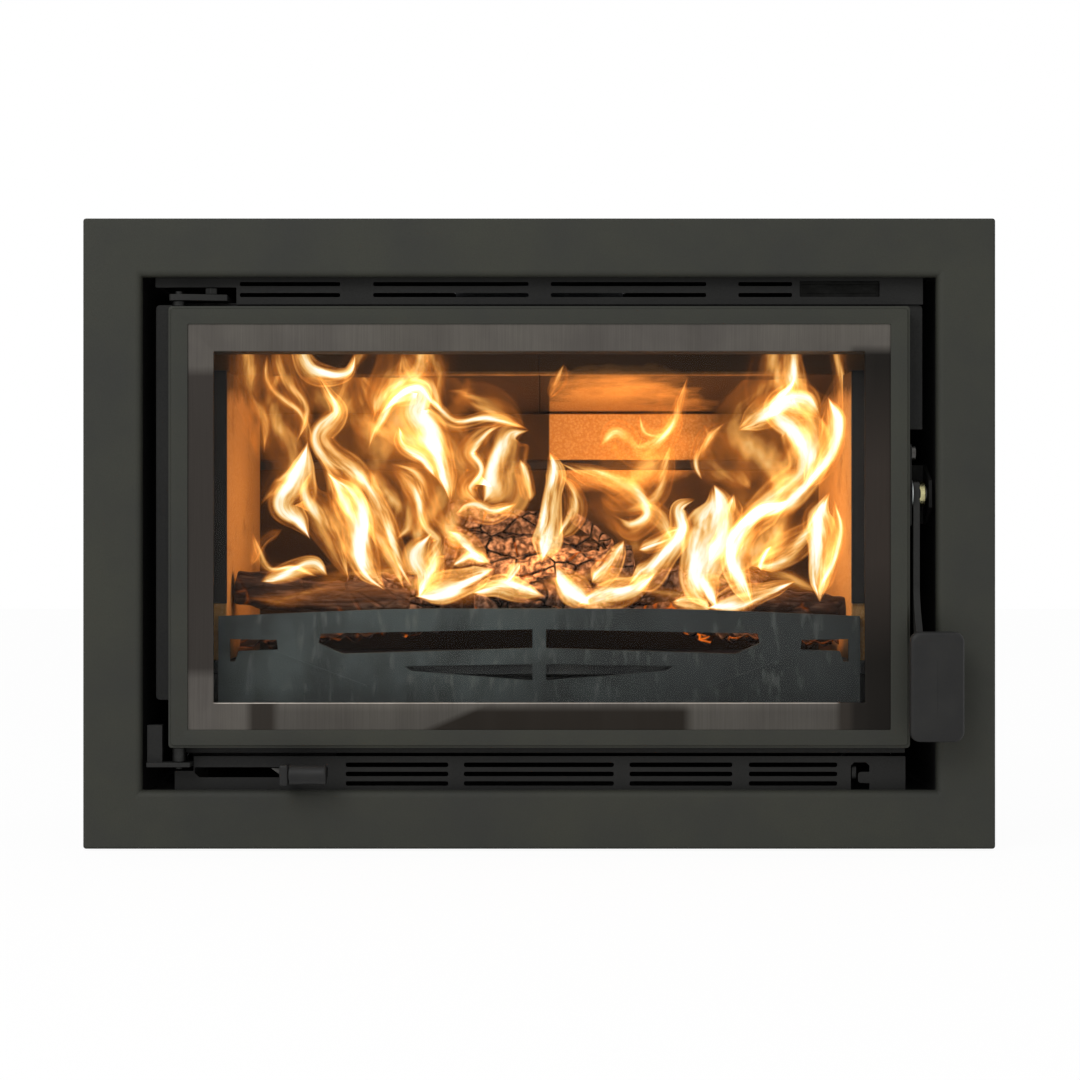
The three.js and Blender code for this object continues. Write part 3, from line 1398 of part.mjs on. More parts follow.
function riddlingBar() {
  const front = grilleBack + RIDDLE_BAR_PROUD;
  const back = uprightFront + UPRIGHT_WIDTH;
  const top = door.z0 - RIDDLE_BAR_DROP;
  const foot = top - RIDDLE_BAR_HEIGHT;
  const [x0, x1] = [riddleBarX - RIDDLE_BAR / 2, riddleBarX + RIDDLE_BAR / 2];
  const bar = sheetYZ(
    [
      [front, foot, RIDDLE_BAR],
      [back, foot],
      [back, riddleFoot - TOUCH],
      [uprightFront, riddleFoot - TOUCH],
      [uprightFront, top],
      [front, top, RIDDLE_BAR],
    ],
    x0,
    x1
  );
  const middle = (top + foot) / 2;
  return cut(bar, barX(RIDDLE_EYE, x0 - PAST, x1 + PAST, front + RIDDLE_EYE_Y, middle));
}
place('riddle', 'riddling_bar', riddlingBar(), bareSteel);

function ashPan() {
  const y0 = grateFront + PAN_FRONT;
  const y1 = liningBack - PAN_BACK;
  const z0 = hearth + TOUCH;
  const z1 = z0 + PAN_HEIGHT;
  const outside = block(-PAN_HALF, PAN_HALF, y0, y1, z0, z1);
  const inside = block(
    -PAN_HALF + PAN_WALL,
    PAN_HALF - PAN_WALL,
    y0 + PAN_WALL,
    y1 - PAN_WALL,
    z0 + PAN_WALL,
    z1 + PAST
  );
  return cut(outside, inside);
}
place('body', 'ash_pan', ashPan(), galvanised);

// ---------- log guard ----------
// Corners of the guard's right half, as [x, z]: from its end, or at the upright in its middle,
// and above the firebox floor. The left half mirrors them.
const fromEnd = (inset, rise) => [guardHalf - inset, hearth + rise];
const atUpright = (rise) => [GUARD_BAR, hearth + rise];
const longOpening = [
  atUpright(102.3),
  fromEnd(91, 98.5),
  fromEnd(89, 90),
  fromEnd(111, 80.5),
  atUpright(85.5),
];
const lowOpening = [atUpright(71.3), atUpright(56.5), fromEnd(172, 65), fromEnd(166, 69.5)];
const endOpening = [
  fromEnd(52, 93),
  fromEnd(10, 93.5),
  fromEnd(10, 73.5),
  fromEnd(15, 73.5),
  fromEnd(18, 83),
  fromEnd(53, 84),
];
const ridgeOutline = [
  fromEnd(48, 84),
  fromEnd(132, 52.5),
  fromEnd(132, 52.5 - RIDGE_WIDTH),
  fromEnd(48, 84 - RIDGE_WIDTH),
];
function logGuard() {
  const foot = hearth + TOUCH;
  const ends = guardTop - GUARD_DROP;
  const crest = guardHalf - GUARD_CREST;
  const mirrored = (corners) => corners.map(([x, z, r]) => [-x, z, r]);
  const right = [longOpening, lowOpening, endOpening];
  const sheet = sheetXZ(
    [
      [-guardHalf, foot],
      [guardHalf, foot],
      [guardHalf, ends],
      [crest, guardTop, crest / 3],
      [-crest, guardTop, crest / 3],
      [-guardHalf, ends],
    ],
    [...right, ...right.map(mirrored)],
    guardFront,
    guardBack
  );
  const ridges = [ridgeOutline, mirrored(ridgeOutline)].map((corners) =>
    sheetXZ(corners, [], guardFront - RIDGE_PROUD, guardFront + PAST)
  );
  return join(sheet, ...ridges);
}
place('body', 'log_guard', logGuard(), castIron);

// ---------- brick lining ----------
const brickFoot = grateTop + TOUCH;
function baffleFoot(y) {
  return baffleZ - (y - baffleFront) * BAFFLE_SLOPE;
}
function sideBrick(side) {
  const back = liningFace - TOUCH;
  const profile = sheetYZ(
    [
      [sideBrickFront, brickFoot],
      [back, brickFoot],
      [back, baffleFoot(back) - TOUCH],
      [baffleFront, baffleZ - TOUCH],
      [sideBrickFront, baffleZ - TOUCH],
    ],
    -sideBrickOut - PAST,
    sideBrickOut + PAST
  );
  const plan = sheetXY(
    [
      [side * sideBrickIn, sideBrickFront],
      [side * sideBrickOut, sideBrickFront],
      [side * sideBrickOut, back],
      [side * (sideBrickIn - SIDE_BRICK_TAPER), back],
    ],
    brickFoot - PAST,
    baffleZ + PAST
  );
  return common(profile, plan);
}
place('body', 'side_brick_left', sideBrick(-1), brick);
place('body', 'side_brick_right', sideBrick(1), brick);

const seamLeft = REAR_SEAM_X - TOUCH / 2;
const seamRight = REAR_SEAM_X + TOUCH / 2;
const lowerTop = brickFoot + REAR_BRICK_HEIGHT;
const barTop = lowerTop + TOUCH + AIR_BAR_HEIGHT;
place(
  'body',
  'rear_brick_left',
  block(-sideBrickOut, seamLeft, liningFace, liningBack, brickFoot, lowerTop),
  brick
);
place(
  'body',
  'rear_brick_right',
  block(seamRight, sideBrickOut, liningFace, liningBack, brickFoot, lowerTop),
  brick
);
place(
  'body',
  'rear_air_bar',
  block(-sideBrickOut, sideBrickOut, liningFace, liningBack, lowerTop + TOUCH, barTop),
  castIron
);
place(
  'body',
  'rear_brick_upper',
  block(
    -sideBrickOut,
    sideBrickOut,
    liningFace,
    liningBack,
    barTop + TOUCH,
    baffleFoot(liningBack) - TOUCH
  ),
  brick
);

function baffle(x0, x1) {
  return sheetYZ(
    [
      [baffleFront, baffleZ],
      [liningBack, baffleFoot(liningBack)],
      [liningBack, baffleFoot(liningBack) + BAFFLE_THICK],
      [baffleFront, baffleZ + BAFFLE_THICK],
    ],
    x0,
    x1
  );
}
place('body', 'baffle_left', baffle(-sideBrickOut, -TOUCH / 2), brick);
place('body', 'baffle_right', baffle(TOUCH / 2, sideBrickOut), brick);

// Sheet angle under the firebox top that sends air down the inside of the glass.
function airwash() {
  const top = firebox.z1 - FIREBOX_PLATE - TOUCH;
  const foot = top - AIRWASH_DROP;
  const front = fireboxFront + AIRWASH_FRONT;
  const back = front + AIRWASH_DEPTH;
  return sheetYZ(
    [
      [front, foot],
      [back, foot],
      [back, top],
      [back - AIRWASH_SHEET, top],
      [back - AIRWASH_SHEET, foot + AIRWASH_SHEET],
      [front, foot + AIRWASH_SHEET],
    ],
    -wallEnd,
    wallEnd
  );
}
place('body', 'airwash_baffle', airwash(), castIron);

// ---------- the whole part about the middle of its depth ----------
const frontMost = padBack - PAD_THICK;
insert.position.y = -(frontMost + casingBack) / 2;

export default insert;
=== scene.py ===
"""Looks of a wood-burning fireplace insert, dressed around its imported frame.

Everything is in metres in the frame's own axes: +X to the viewer's right, +Y into the wall, +Z up.
Sizes are written in millimetres and multiplied by MM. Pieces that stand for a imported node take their
place from that node's box. The fire and its logs are fuel and belong to the stage, as the floor does.
"""
import json
import math

import bmesh
import bpy
import numpy as np
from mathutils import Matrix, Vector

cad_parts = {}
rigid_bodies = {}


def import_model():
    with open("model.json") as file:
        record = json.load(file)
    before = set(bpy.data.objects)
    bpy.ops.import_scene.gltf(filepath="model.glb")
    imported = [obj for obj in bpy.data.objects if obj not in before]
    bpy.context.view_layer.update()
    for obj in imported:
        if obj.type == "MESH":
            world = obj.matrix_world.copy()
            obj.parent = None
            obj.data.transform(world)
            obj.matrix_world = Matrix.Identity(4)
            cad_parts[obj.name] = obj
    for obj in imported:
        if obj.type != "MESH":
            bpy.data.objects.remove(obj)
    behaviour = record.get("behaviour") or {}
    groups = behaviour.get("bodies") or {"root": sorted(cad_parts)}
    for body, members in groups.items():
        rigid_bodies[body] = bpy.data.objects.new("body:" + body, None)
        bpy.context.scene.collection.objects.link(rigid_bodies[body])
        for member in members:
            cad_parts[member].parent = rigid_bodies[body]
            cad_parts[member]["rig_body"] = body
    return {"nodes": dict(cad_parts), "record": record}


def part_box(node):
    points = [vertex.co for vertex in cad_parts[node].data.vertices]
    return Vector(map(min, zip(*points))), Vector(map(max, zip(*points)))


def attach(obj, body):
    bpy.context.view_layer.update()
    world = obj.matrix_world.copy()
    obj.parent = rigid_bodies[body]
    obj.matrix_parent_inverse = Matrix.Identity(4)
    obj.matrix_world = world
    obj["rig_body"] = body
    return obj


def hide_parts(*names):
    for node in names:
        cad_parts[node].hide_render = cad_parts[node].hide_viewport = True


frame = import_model()
NODES = frame["nodes"]
SLOT = {row["node"]: row["material_slot"] for row in frame["record"]["subparts"]}
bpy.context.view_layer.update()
MM = 0.001

# ---------- photograph's viewpoint ----------
FRAME_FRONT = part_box("surround_frame")[0].y
CAMERA_DISTANCE = 2.6  # from the frame's front
CAMERA_HEIGHT = 0.2729
CAMERA_X = 0.0007
PHOTO_WIDTH = 0.9468  # what the photograph spans at the frame's front
SENSOR = 36.0

# ---------- the leaf and the frame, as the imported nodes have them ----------
FRAME_BORDER = 51 * MM
FRAME_SHEET = 2.5 * MM
FRAME_RETURN = 12 * MM
FRAME_ROLL = 6 * MM
WALL_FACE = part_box("surround_frame")[1].y
FIREBOX_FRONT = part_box("firebox_base")[0].y
BRICK_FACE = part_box("rear_brick_right")[0].y
SIDE_BRICK_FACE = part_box("side_brick_right")[0].x
BAFFLE_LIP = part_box("baffle_right")[0].copy()
BAFFLE_LIP.z = 424.6 * MM  # where its slanting underside meets its front
DOOR_SIDE_BAND = 17 * MM
DOOR_END_BAND = 15.8 * MM
DOOR_SHEET = 2 * MM
TRIM_LAP = 3.8 * MM


# ---------- colours and shader nodes ----------
def linear(hex_colour):
    """An sRGB hex colour as linear red, green and blue, and an alpha of 1."""
    parts = [int(hex_colour[i : i + 2], 16) / 255 for i in (1, 3, 5)]
    return [c / 12.92 if c <= 0.04045 else ((c + 0.055) / 1.055) ** 2.4 for c in parts] + [1.0]


def fill(socket, value):
    """Gives a socket a number, a hex colour, or a link from a node or one of its outputs.

    A tuple is a source and two limits. It links the source mapped from them to 0 and 1, or to the
    two numbers that may follow, and held beyond them.
    """
    tree = socket.id_data
    if isinstance(value, tuple):
        value = add(tree, "MapRange", *value)
    if isinstance(value, bpy.types.Node):
        value = next(output for output in value.outputs if output.enabled)
    if isinstance(value, bpy.types.NodeSocket):
        tree.links.new(value, socket)
    else:
        socket.default_value = linear(value) if isinstance(value, str) else value


def add(tree, kind, *sources, stops=(), **settings):
    """Adds one shader node with its settings and links.

    The sources fill its enabled sockets in turn. A setting whose name starts with a capital is a
    socket, with _ for a space. Any other is the node's own. The stops are those of a colour ramp.
    """
    node = tree.nodes.new("ShaderNode" + kind)
    for name, value in settings.items():
        if name[0].islower():
            setattr(node, name, value)
    for socket, value in zip([socket for socket in node.inputs if socket.enabled], sources):
        fill(socket, value)
    for name, value in settings.items():
        if name[0].isupper():
            fill(node.inputs[name.replace("_", " ")], value)
    if stops:
        elements = node.color_ramp.elements
        elements.remove(elements[1])
        elements[0].position = stops[0][0]
        elements[0].color = linear(stops[0][1])
        for position, colour in stops[1:]:
            elements.new(position).color = linear(colour)
    return node


def new_material(name):
    """A material with one Principled shader, and its node tree."""
    made = bpy.data.materials.new(name)
    made.use_nodes = True
    return made, made.node_tree


def finish(made, **sockets):
    """Fills the sockets of the material's Principled shader, with _ for a space in their names."""
    shader = made.node_tree.nodes["Principled BSDF"]
    for name, value in sockets.items():
        fill(shader.inputs[name.replace("_", " ")], value)
    return made


def textured(made, pattern, rough, depth, strength, **sockets):
    """Finishes a material whose pattern sets its roughness in a range and bumps it, depth metres deep."""
    bump = add(made.node_tree, "Bump", Height=pattern, Distance=depth, Strength=strength)
    return finish(made, Roughness=(pattern, 0.3, 0.7, *rough), Normal=bump, **sockets)


def coordinates(tree):
    """Object coordinates x, y and z, in metres."""
    return add(tree, "SeparateXYZ", add(tree, "TexCoord").outputs["Object"]).outputs


def place_on(tree, stretch=(1, 1, 1)):
    """Object coordinates in metres, squeezed so that a pattern comes out stretched by these factors."""
    where = add(tree, "TexCoord").outputs["Object"]
    return add(tree, "Mapping", where, Scale=[1 / factor for factor in stretch])


def grain(tree, size, stretch=(1, 1, 1), detail=3, roughness=0.55):
    """Cloudy noise on the piece, whose lumps are about size millimetres across."""
    where, scale = place_on(tree, stretch), 1 / (size * MM)
    return add(tree, "TexNoise", where, Scale=scale, Detail=detail, Roughness=roughness)


def overlap(tree, mask, *others):
    """Where all the masks hold: their product."""
    for other in others:
        mask = add(tree, "Math", mask, other, operation="MULTIPLY")
    return mask


def within(tree, *ranges):
    """1 where each source is between its low and high, falling to 0 over its soft ends."""
    masks = []
    for source, low, high, soft in ranges:
        half = soft / 2
        rise, fall = (source, low - half, low + half), (source, high - half, high + half, 1, 0)
        masks.append(overlap(tree, rise, fall))
    return overlap(tree, *masks)


def layered(tree, colour, *layers):
    """Colours laid over a first one in turn, each layer a share of 0 to 1 and its colour."""
    for share, over in layers:
        colour = add(tree, "Mix", share, colour, over, data_type="RGBA")
    return colour


def seen_rays(tree):
    """1 for the rays that meet the eye: straight, in a reflection or through glass."""
    rays = add(tree, "LightPath").outputs
    found = rays["Is Camera Ray"]
    for name in ("Is Glossy Ray", "Is Transmission Ray"):
        found = add(tree, "Math", found, rays[name], operation="MAXIMUM")
    return found


# ---------- materials, one function for each finish ----------
def heatproof_paint(name, base, light, dark):
    """Silicone heat-proof paint sprayed on steel sheet: matt, faintly grainy, with soft cloudiness."""
    made, tree = new_material(name)
    cloud = grain(tree, 90, detail=4)
    speck = grain(tree, 1.4, detail=2)  # the real grain is 0.2 mm, too fine to show
    colour = layered(tree, dark, ((cloud, 0.35, 0.65), light), ((speck, 0.3, 0.7, 0, 0.35), base))
    return textured(
        made, speck, (0.55, 0.7), 0.12 * MM, 0.5, Base_Color=colour, Specular_IOR_Level=0.25
    )


def brushed_trim():
    """Dark brushed stainless steel: vertical strokes 0.9 mm apart, with painted reflections.

    The side bands, the right of the bottom band and two bars on it are painted darker as
    reflections, soft vertical streaks are painted reflections too, and a painted highlight runs
    along the bottom band's inner edge.
    """
    made, tree = new_material("brushed_stainless_trim")
    x, _, z = coordinates(tree)
    strokes = grain(tree, 0.9, stretch=(1, 1, 60))
    # Soft vertical streaks 34 mm across: painted reflections.
    bands = grain(tree, 34, stretch=(1, 1, 6), detail=2)
    cloud = grain(tree, 70)
    beyond = 400 * MM  # past the trim's end on either side
    # Painted reflections: the side bands are darker, the right one lighter in its middle.
    left = within(tree, (x, -beyond, -275 * MM, 8 * MM), (z, 156 * MM, 421 * MM, 9 * MM))
    right = within(tree, (x, 274 * MM, beyond, 6 * MM), (z, 0, 440 * MM, 9 * MM))
    # Painted reflections on the bottom band: darker to the right, darkest in a slanting patch, and two
    # darker bars.
    below = (z, 122 * MM, 130 * MM, 1, 0)
    dull = overlap(tree, below, (x, -245 * MM, -225 * MM, 0, 0.55))
    slant = add(tree, "Math", z, 2.3, operation="MULTIPLY")
    slant = add(tree, "Math", x, slant, operation="SUBTRACT")
    foot = overlap(tree, (slant, -350 * MM, -336 * MM), (x, 126 * MM, 136 * MM, 1, 0))
    first_bar = within(tree, (x, -255 * MM, -231 * MM, 8 * MM))
    second_bar = within(tree, (x, 262 * MM, beyond, 6 * MM))
    bars = add(tree, "Math", first_bar, second_bar, operation="MAXIMUM")
    # A painted highlight along the inner edge of the bottom band.
    painted_edge_highlight = within(tree, (z, 129.4 * MM, 132 * MM, 0.6 * MM), (x, -284 * MM, 262 * MM, 4 * MM))
    middle = within(tree, (z, 210 * MM, 380 * MM, 90 * MM))
    colour = layered(
        tree,
        "#625e58",
        ((cloud, 0.35, 0.65), "#595551"),
        (dull, "#464440"),
        (left, "#3d3936"),
        (overlap(tree, below, foot), "#2a2622"),
        (overlap(tree, (z, 131 * MM, 135 * MM, 1, 0), bars), "#35312d"),
        (painted_edge_highlight, "#a29c94"),
        (right, layered(tree, "#211f1d", (middle, "#37312d"))),
        ((bands, 0.4, 0.65, 0, 0.18), "#37332f"),
        ((strokes, 0.35, 0.7, 0, 0.16), "#2f2c29"),
    )
    return textured(
        made, strokes, (0.3, 0.48), 0.05 * MM, 0.4, Base_Color=colour, Metallic=1, Anisotropic=0.5
    )


def turned_steel(name, colour, shade, roughness):
    """Bare or zinc-plated steel: bright metal with fine rub marks and darker patches."""
    made, tree = new_material(name)
    rub = grain(tree, 1.6, stretch=(6, 1, 1))
    patch = grain(tree, 9)
    return textured(
        made,
        rub,
        (roughness - 0.08, roughness + 0.1),
        0.04 * MM,
        0.5,
        Base_Color=layered(tree, colour, ((patch, 0.35, 0.7), shade)),
        Metallic=1,
    )


def sheet_zinc():
    """Aluminised sheet of the casing: dull grey, a faint spangle about 6 mm across, soft streaks.

    The side that faces the firebox is painted near-black, rough and not metallic: painted shade inside the
    casing.
    """
    made, tree = new_material("aluminised_sheet")
    x, y, z = coordinates(tree)
    low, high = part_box("casing_left")[0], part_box("casing_right")[1]
    half, soft = 1.25 * MM, 0.4 * MM  # half the sheet, and the change's width inside it
    # Painted shade: inside the casing the sheet is made near-black, rough and not metallic.
    inside = within(
        tree,
        (x, low.x + half, high.x - half, soft),
        (z, low.z + half, high.z - half, soft),
        (y, -1, high.y - half, soft),
    )
    spangle = add(tree, "TexVoronoi", place_on(tree), Scale=1 / (6 * MM))
    cloud = grain(tree, 120, detail=4)
    streak = grain(tree, 14, stretch=(1, 1, 14))
    colour = layered(
        tree,
        "#888c8c",
        ((spangle, 0.1, 0.7), "#818586"),
        ((cloud, 0.35, 0.7, 0, 0.4), "#979a99"),
        ((streak, 0.4, 0.7, 0, 0.25), "#747878"),
        (inside, "#1b1a19"),
    )
    rough = (streak, 0.3, 0.7, 0.44, 0.54)
    return finish(
        made,
        Base_Color=colour,
        Metallic=(inside, 0, 1, 0.85, 0),
        Roughness=add(tree, "Math", rough, inside, operation="MAXIMUM"),
        Normal=add(tree, "Bump", Height=grain(tree, 2, detail=2), Distance=0.05 * MM, Strength=0.4),
    )


def cast_iron(name, colour, shade):
    """Sand-cast iron: grain of about 1.5 mm under smoke, brown-grey where ash has settled."""
    made, tree = new_material(name)
    sand = grain(tree, 1.5, detail=4, roughness=0.65)
    cloud = grain(tree, 45, detail=4)
    ash = overlap(tree, (sand, 0.45, 0.75), (cloud, 0.45, 0.7))
    smoked = (cloud, 0.35, 0.65)
    return textured(
        made,
        sand,
        (0.6, 0.85),
        0.35 * MM,
        0.8,
        Base_Color=layered(tree, shade, (smoked, colour), (ash, "#5d5a54")),
        Metallic=0.25,
        Specular_IOR_Level=0.45,
    )


def guard_iron():
    """Log guard's cast iron: blue-grey, lighter to the left where a reflection is painted on, with ash
    smears.
    """
    made, tree = new_material("cast_iron_with_painted_reflection")
    x, _, _ = coordinates(tree)
    sand = grain(tree, 1.5, detail=4, roughness=0.65)
    cloud = grain(tree, 60, stretch=(1, 1, 1.5), detail=4)
    smear = grain(tree, 9, stretch=(1, 1, 3), detail=4)
    colour = layered(
        tree,
        "#515b5e",
        # Lighter blue-grey to the left and darker to the right: a painted reflection.
        ((x, -60 * MM, 130 * MM), "#363c3f"),
        ((cloud, 0.42, 0.62, 0, 0.8), "#2d3234"),
        ((smear, 0.55, 0.8, 0, 0.5), "#868c8a"),
    )
    return textured(made, sand, (0.5, 0.8), 0.3 * MM, 0.7, Base_Color=colour, Specular_IOR_Level=0.3)


def welded_plate():
    """Firebox plate with matt paint, browned by heat and greyed by ash."""
    made, tree = new_material("painted_firebox_plate")
    cloud = grain(tree, 70, detail=5)
    speck = grain(tree, 1.6)
    browned = [(0.3, "#0f0e0d"), (0.55, "#191716"), (0.75, "#26211c")]
    return textured(
        made,
        speck,
        (0.7, 0.9),
        0.15 * MM,
        0.6,
        Base_Color=add(tree, "ValToRGB", cloud, stops=browned),
        Metallic=0.1,
    )


def vermiculite():
    """Pressed vermiculite board: golden-tan flakes about 3 mm across, black in part as sooty board
    and in part as painted shade.

    The rear bricks and the baffle are black, sooty and painted shade, but for a patch right of the
    middle that is partly burnt clean and partly a painted pool of the fire's light. The side bricks
    are clean up to 405 mm. Cloudy noise breaks up both borders. A light strip along the baffle's
    lower front edge is a painted highlight.
    """
    made, tree = new_material("vermiculite_board")
    x, y, z = coordinates(tree)
    flakes = add(tree, "TexVoronoi", place_on(tree), Scale=1 / (2.6 * MM))
    grit = grain(tree, 1.2)
    cloud = grain(tree, 60, detail=5, roughness=0.6)
    wander = (cloud, 0.25, 0.75, -0.45, 0.45)

    # The clean patch, partly burnt clean and partly a painted pool of the fire's light, is an ellipse,
    # given by its centre and half its size along x and z.
    squares = []
    for place, centre, half in ((x, 72 * MM, 92 * MM), (z, 378 * MM, 49 * MM)):
        offset = add(tree, "Math", place, centre, operation="SUBTRACT")
        offset = add(tree, "Math", offset, half, operation="DIVIDE")
        squares.append(add(tree, "Math", offset, 2, operation="POWER"))
    away = add(tree, "Math", *squares, operation="ADD")
    away = add(tree, "Math", away, wander, operation="ADD")
    patch = overlap(tree, (away, 0.55, 1.35, 1, 0), (x, 9 * MM, 11 * MM))

    # Black, partly sooty and partly painted shade, lies on the rear bricks and high up, above a wandering
    # rim and in cloudy films.
    rear = (y, BRICK_FACE - 4 * MM, BRICK_FACE - 2 * MM)
    over = overlap(
        tree, within(tree, (x, -SIDE_BRICK_FACE, SIDE_BRICK_FACE, 4 * MM)), (z, 384 * MM, 390 * MM)
    )
    soot_and_painted_shade = add(tree, "Math", rear, over, operation="MAXIMUM")
    soot_and_painted_shade = overlap(tree, soot_and_painted_shade, (patch, 0, 1, 0.95, 0))
    rim = add(tree, "Math", wander, 20 * MM, operation="MULTIPLY")
    rim = add(tree, "Math", z, rim, operation="ADD")
    for more in ((rim, 396 * MM, 412 * MM, 0, 0.8), (cloud, 0.55, 0.8, 0, 0.5)):
        soot_and_painted_shade = add(tree, "Math", soot_and_painted_shade, more, operation="MAXIMUM")
    # A light strip along the baffle's lower front edge: a painted highlight where the fire lights it.
    lip = within(
        tree,
        (z, BAFFLE_LIP.z - 2 * MM, BAFFLE_LIP.z + 3 * MM, 1.5 * MM),
        (y, BAFFLE_LIP.y - 2 * MM, BAFFLE_LIP.y + 4 * MM, 2 * MM),
        (x, -150 * MM, 220 * MM, 60 * MM),
    )
    lip = overlap(tree, lip, (cloud, 0.35, 0.6))
    soot_and_painted_shade = overlap(tree, soot_and_painted_shade, (patch, 0.3, 1, 1, 0.2), (lip, 0, 1, 1, 0.55))
    colour = layered(
        tree,
        "#d2ad76",
        ((flakes, 0.05, 0.65), "#b98c55"),
        ((grit, 0.35, 0.7, 0, 0.5), "#9c7040"),
        (soot_and_painted_shade, "#1b120c"),
    )
    height = add(tree, "Math", flakes, grit, operation="ADD")
    return finish(
        made,
        Base_Color=colour,
        Roughness=(grit, 0.3, 0.7, 0.85, 1),
        Specular_IOR_Level=0.2,
        Normal=add(tree, "Bump", Height=height, Distance=0.4 * MM, Strength=0.7),
    )


def knitted_rope():
    """Knitted glass-fibre rope blackened with graphite: soft, dusty, with strand shading."""
    made, tree = new_material("knitted_glass_rope")
    strand = grain(tree, 0.9)
    greys = [(0.3, "#232321"), (0.55, "#3c3b38"), (0.75, "#5a5854")]
    return textured(
        made,
        strand,
        (0.8, 1),
        0.3 * MM,
        0.8,
        Base_Color=add(tree, "ValToRGB", strand, stops=greys),
        Specular_IOR_Level=0.2,
        Sheen_Weight=0.4,
        Sheen_Roughness=0.6,
    )


def bakelite():
    """Moulded phenolic grip: near-black, satin, with a fine spark-eroded texture."""
    made, tree = new_material("moulded_phenolic")
    texture = grain(tree, 1.1, detail=2)
    cloud = (grain(tree, 25), 0.35, 0.65)
    return textured(
        made,
        texture,
        (0.42, 0.56),
        0.08 * MM,
        0.5,
        Base_Color=layered(tree, "#1b1b1b", (cloud, "#212120")),
        Specular_IOR_Level=0.25,
    )


def pane():
    """Clear glass ceramic 4 mm thick, coated against reflection so that the fire shows through."""
    made, tree = new_material("glass_ceramic")
    finish(
        made, Base_Color="#f2f2ef", Roughness=0, IOR=1.15, Specular_IOR_Level=0.3, Transmission_Weight=1
    )
    rays = add(tree, "LightPath").outputs
    through = add(tree, "Math", rays["Is Shadow Ray"], rays["Is Diffuse Ray"], operation="MAXIMUM")
    clear = add(tree, "BsdfTransparent", "#eceae6")
    mixed = add(tree, "MixShader", through, tree.nodes["Principled BSDF"], clear)
    fill(tree.nodes["Material Output"].inputs["Surface"], mixed)
    return made


FINISH_OF_SLOT = {
    "frame_paint": heatproof_paint("heatproof_paint", "#33342f", "#373830", "#30312d"),
    "inner_paint": heatproof_paint("heatproof_paint_inside", "#1d1d1c", "#21211f", "#191918"),
    "casing_sheet": sheet_zinc(),
    "firebox_steel": welded_plate(),
    "cast_iron": cast_iron("cast_iron", "#3d4144", "#2b2e31"),
    "glass_trim": brushed_trim(),
    "plate_steel": turned_steel("dull_steel_plate", "#1f1f1e", "#171716", 0.55),
    "bare_steel": turned_steel("turned_steel", "#5c5b59", "#3f3d3b", 0.42),
    "zinc": turned_steel("zinc_plated_steel", "#a9acab", "#858988", 0.34),
    "brass": turned_steel("turned_brass", "#d2cc9c", "#aaa274", 0.3),
    "glass": pane(),
    "rope": knitted_rope(),
    "brick": vermiculite(),
    "handle_grip": bakelite(),
}
FINISH_OF_NODE = {
    "log_guard": guard_iron(),
    "air_lever": FINISH_OF_SLOT["bare_steel"],
    "rear_air_bar": FINISH_OF_SLOT["firebox_steel"],
}
BLACKENED = ("hinge_bracket_bolt", "hinge_pin_top", "hinge_pin_bottom", "hinge_bush")
BLACKENED += ("riddling_bar", "air_valve_plate")
FINISH_OF_NODE |= dict.fromkeys(BLACKENED, turned_steel("blackened_steel", "#333332", "#262625", 0.5))


# ---------- surfaces worked out with numpy ----------
def put(name, data, place=(0, 0, 0)):
    """A new object in the scene, at place."""
    made = bpy.data.objects.new(name, data)
    bpy.context.scene.collection.objects.link(made)
    made.location = place
    return made


def surface_object(name, surfaces, smooth_angle=40, closed=True):
    """One mesh object from surfaces of points [rows, columns, 3], each with its two closed flags.

    Neighbouring points of a grid make the quads; a closed way joins its last line to its first.
    Where the whole is closed, poles and seams are merged and the faces turned outward.
    """
    points, quads, start = [], [], 0
    for grid, close_rows, close_columns in surfaces:
        rows, columns = grid.shape[:2]
        index = np.arange(rows * columns).reshape(rows, columns) + start
        corners = [index, np.roll(index, -1, 0), np.roll(index, (-1, -1), (0, 1)), np.roll(index, -1, 1)]
        quad = np.stack(corners, -1)
        quad = quad[: rows if close_rows else rows - 1, : columns if close_columns else columns - 1]
        quads.append(quad.reshape(-1, 4))
        points.append(grid.reshape(-1, 3))
        start += rows * columns
    mesh = bpy.data.meshes.new(name)
    mesh.from_pydata(np.concatenate(points), [], np.concatenate(quads).tolist())
    if closed:
        work = bmesh.new()
        work.from_mesh(mesh)
        bmesh.ops.remove_doubles(work, verts=work.verts, dist=1e-6)
        bmesh.ops.recalc_face_normals(work, faces=work.faces)
        work.to_mesh(mesh)
        work.free()
    return smooth_object(name, mesh, smooth_angle)


def smooth_object(name, mesh, smooth_angle):
    """An object for the mesh, shaded smooth up to this angle between faces."""
    mesh.shade_smooth()
    mesh.set_sharp_from_angle(angle=math.radians(smooth_angle))
    return put(name, mesh)


def wear(made, node, slot):
    """Gives an object the finish of its node, or else of its slot, and no other."""
    made.data.materials.clear()
    made.data.materials.append(FINISH_OF_NODE.get(node, FINISH_OF_SLOT[slot]))


def dress(made, node=None, body=None, slot=None):
    """Gives a piece its body and the finish of its node or slot. One that stands for a node takes that
    node's body and slot, and hides the node.
    """
    if node:
        body = NODES[node]["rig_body"]
        slot = SLOT[node]
        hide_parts(node)
    wear(made, node, slot)
    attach(made, body)


def circle(count):
    """Angles evenly round a full turn."""
    return np.linspace(0, 2 * math.pi, count, endpoint=False)


def grow(box, distance):
    """A box [x0, x1, z0, z1] made larger all round."""
    x0, x1, z0, z1 = box
    return [x0 - distance, x1 + distance, z0 - distance, z1 + distance]


def node_box(node):
    """A node's extent as [x0, x1, z0, z1]."""
    low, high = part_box(node)
    return [low.x, high.x, low.z, high.z]


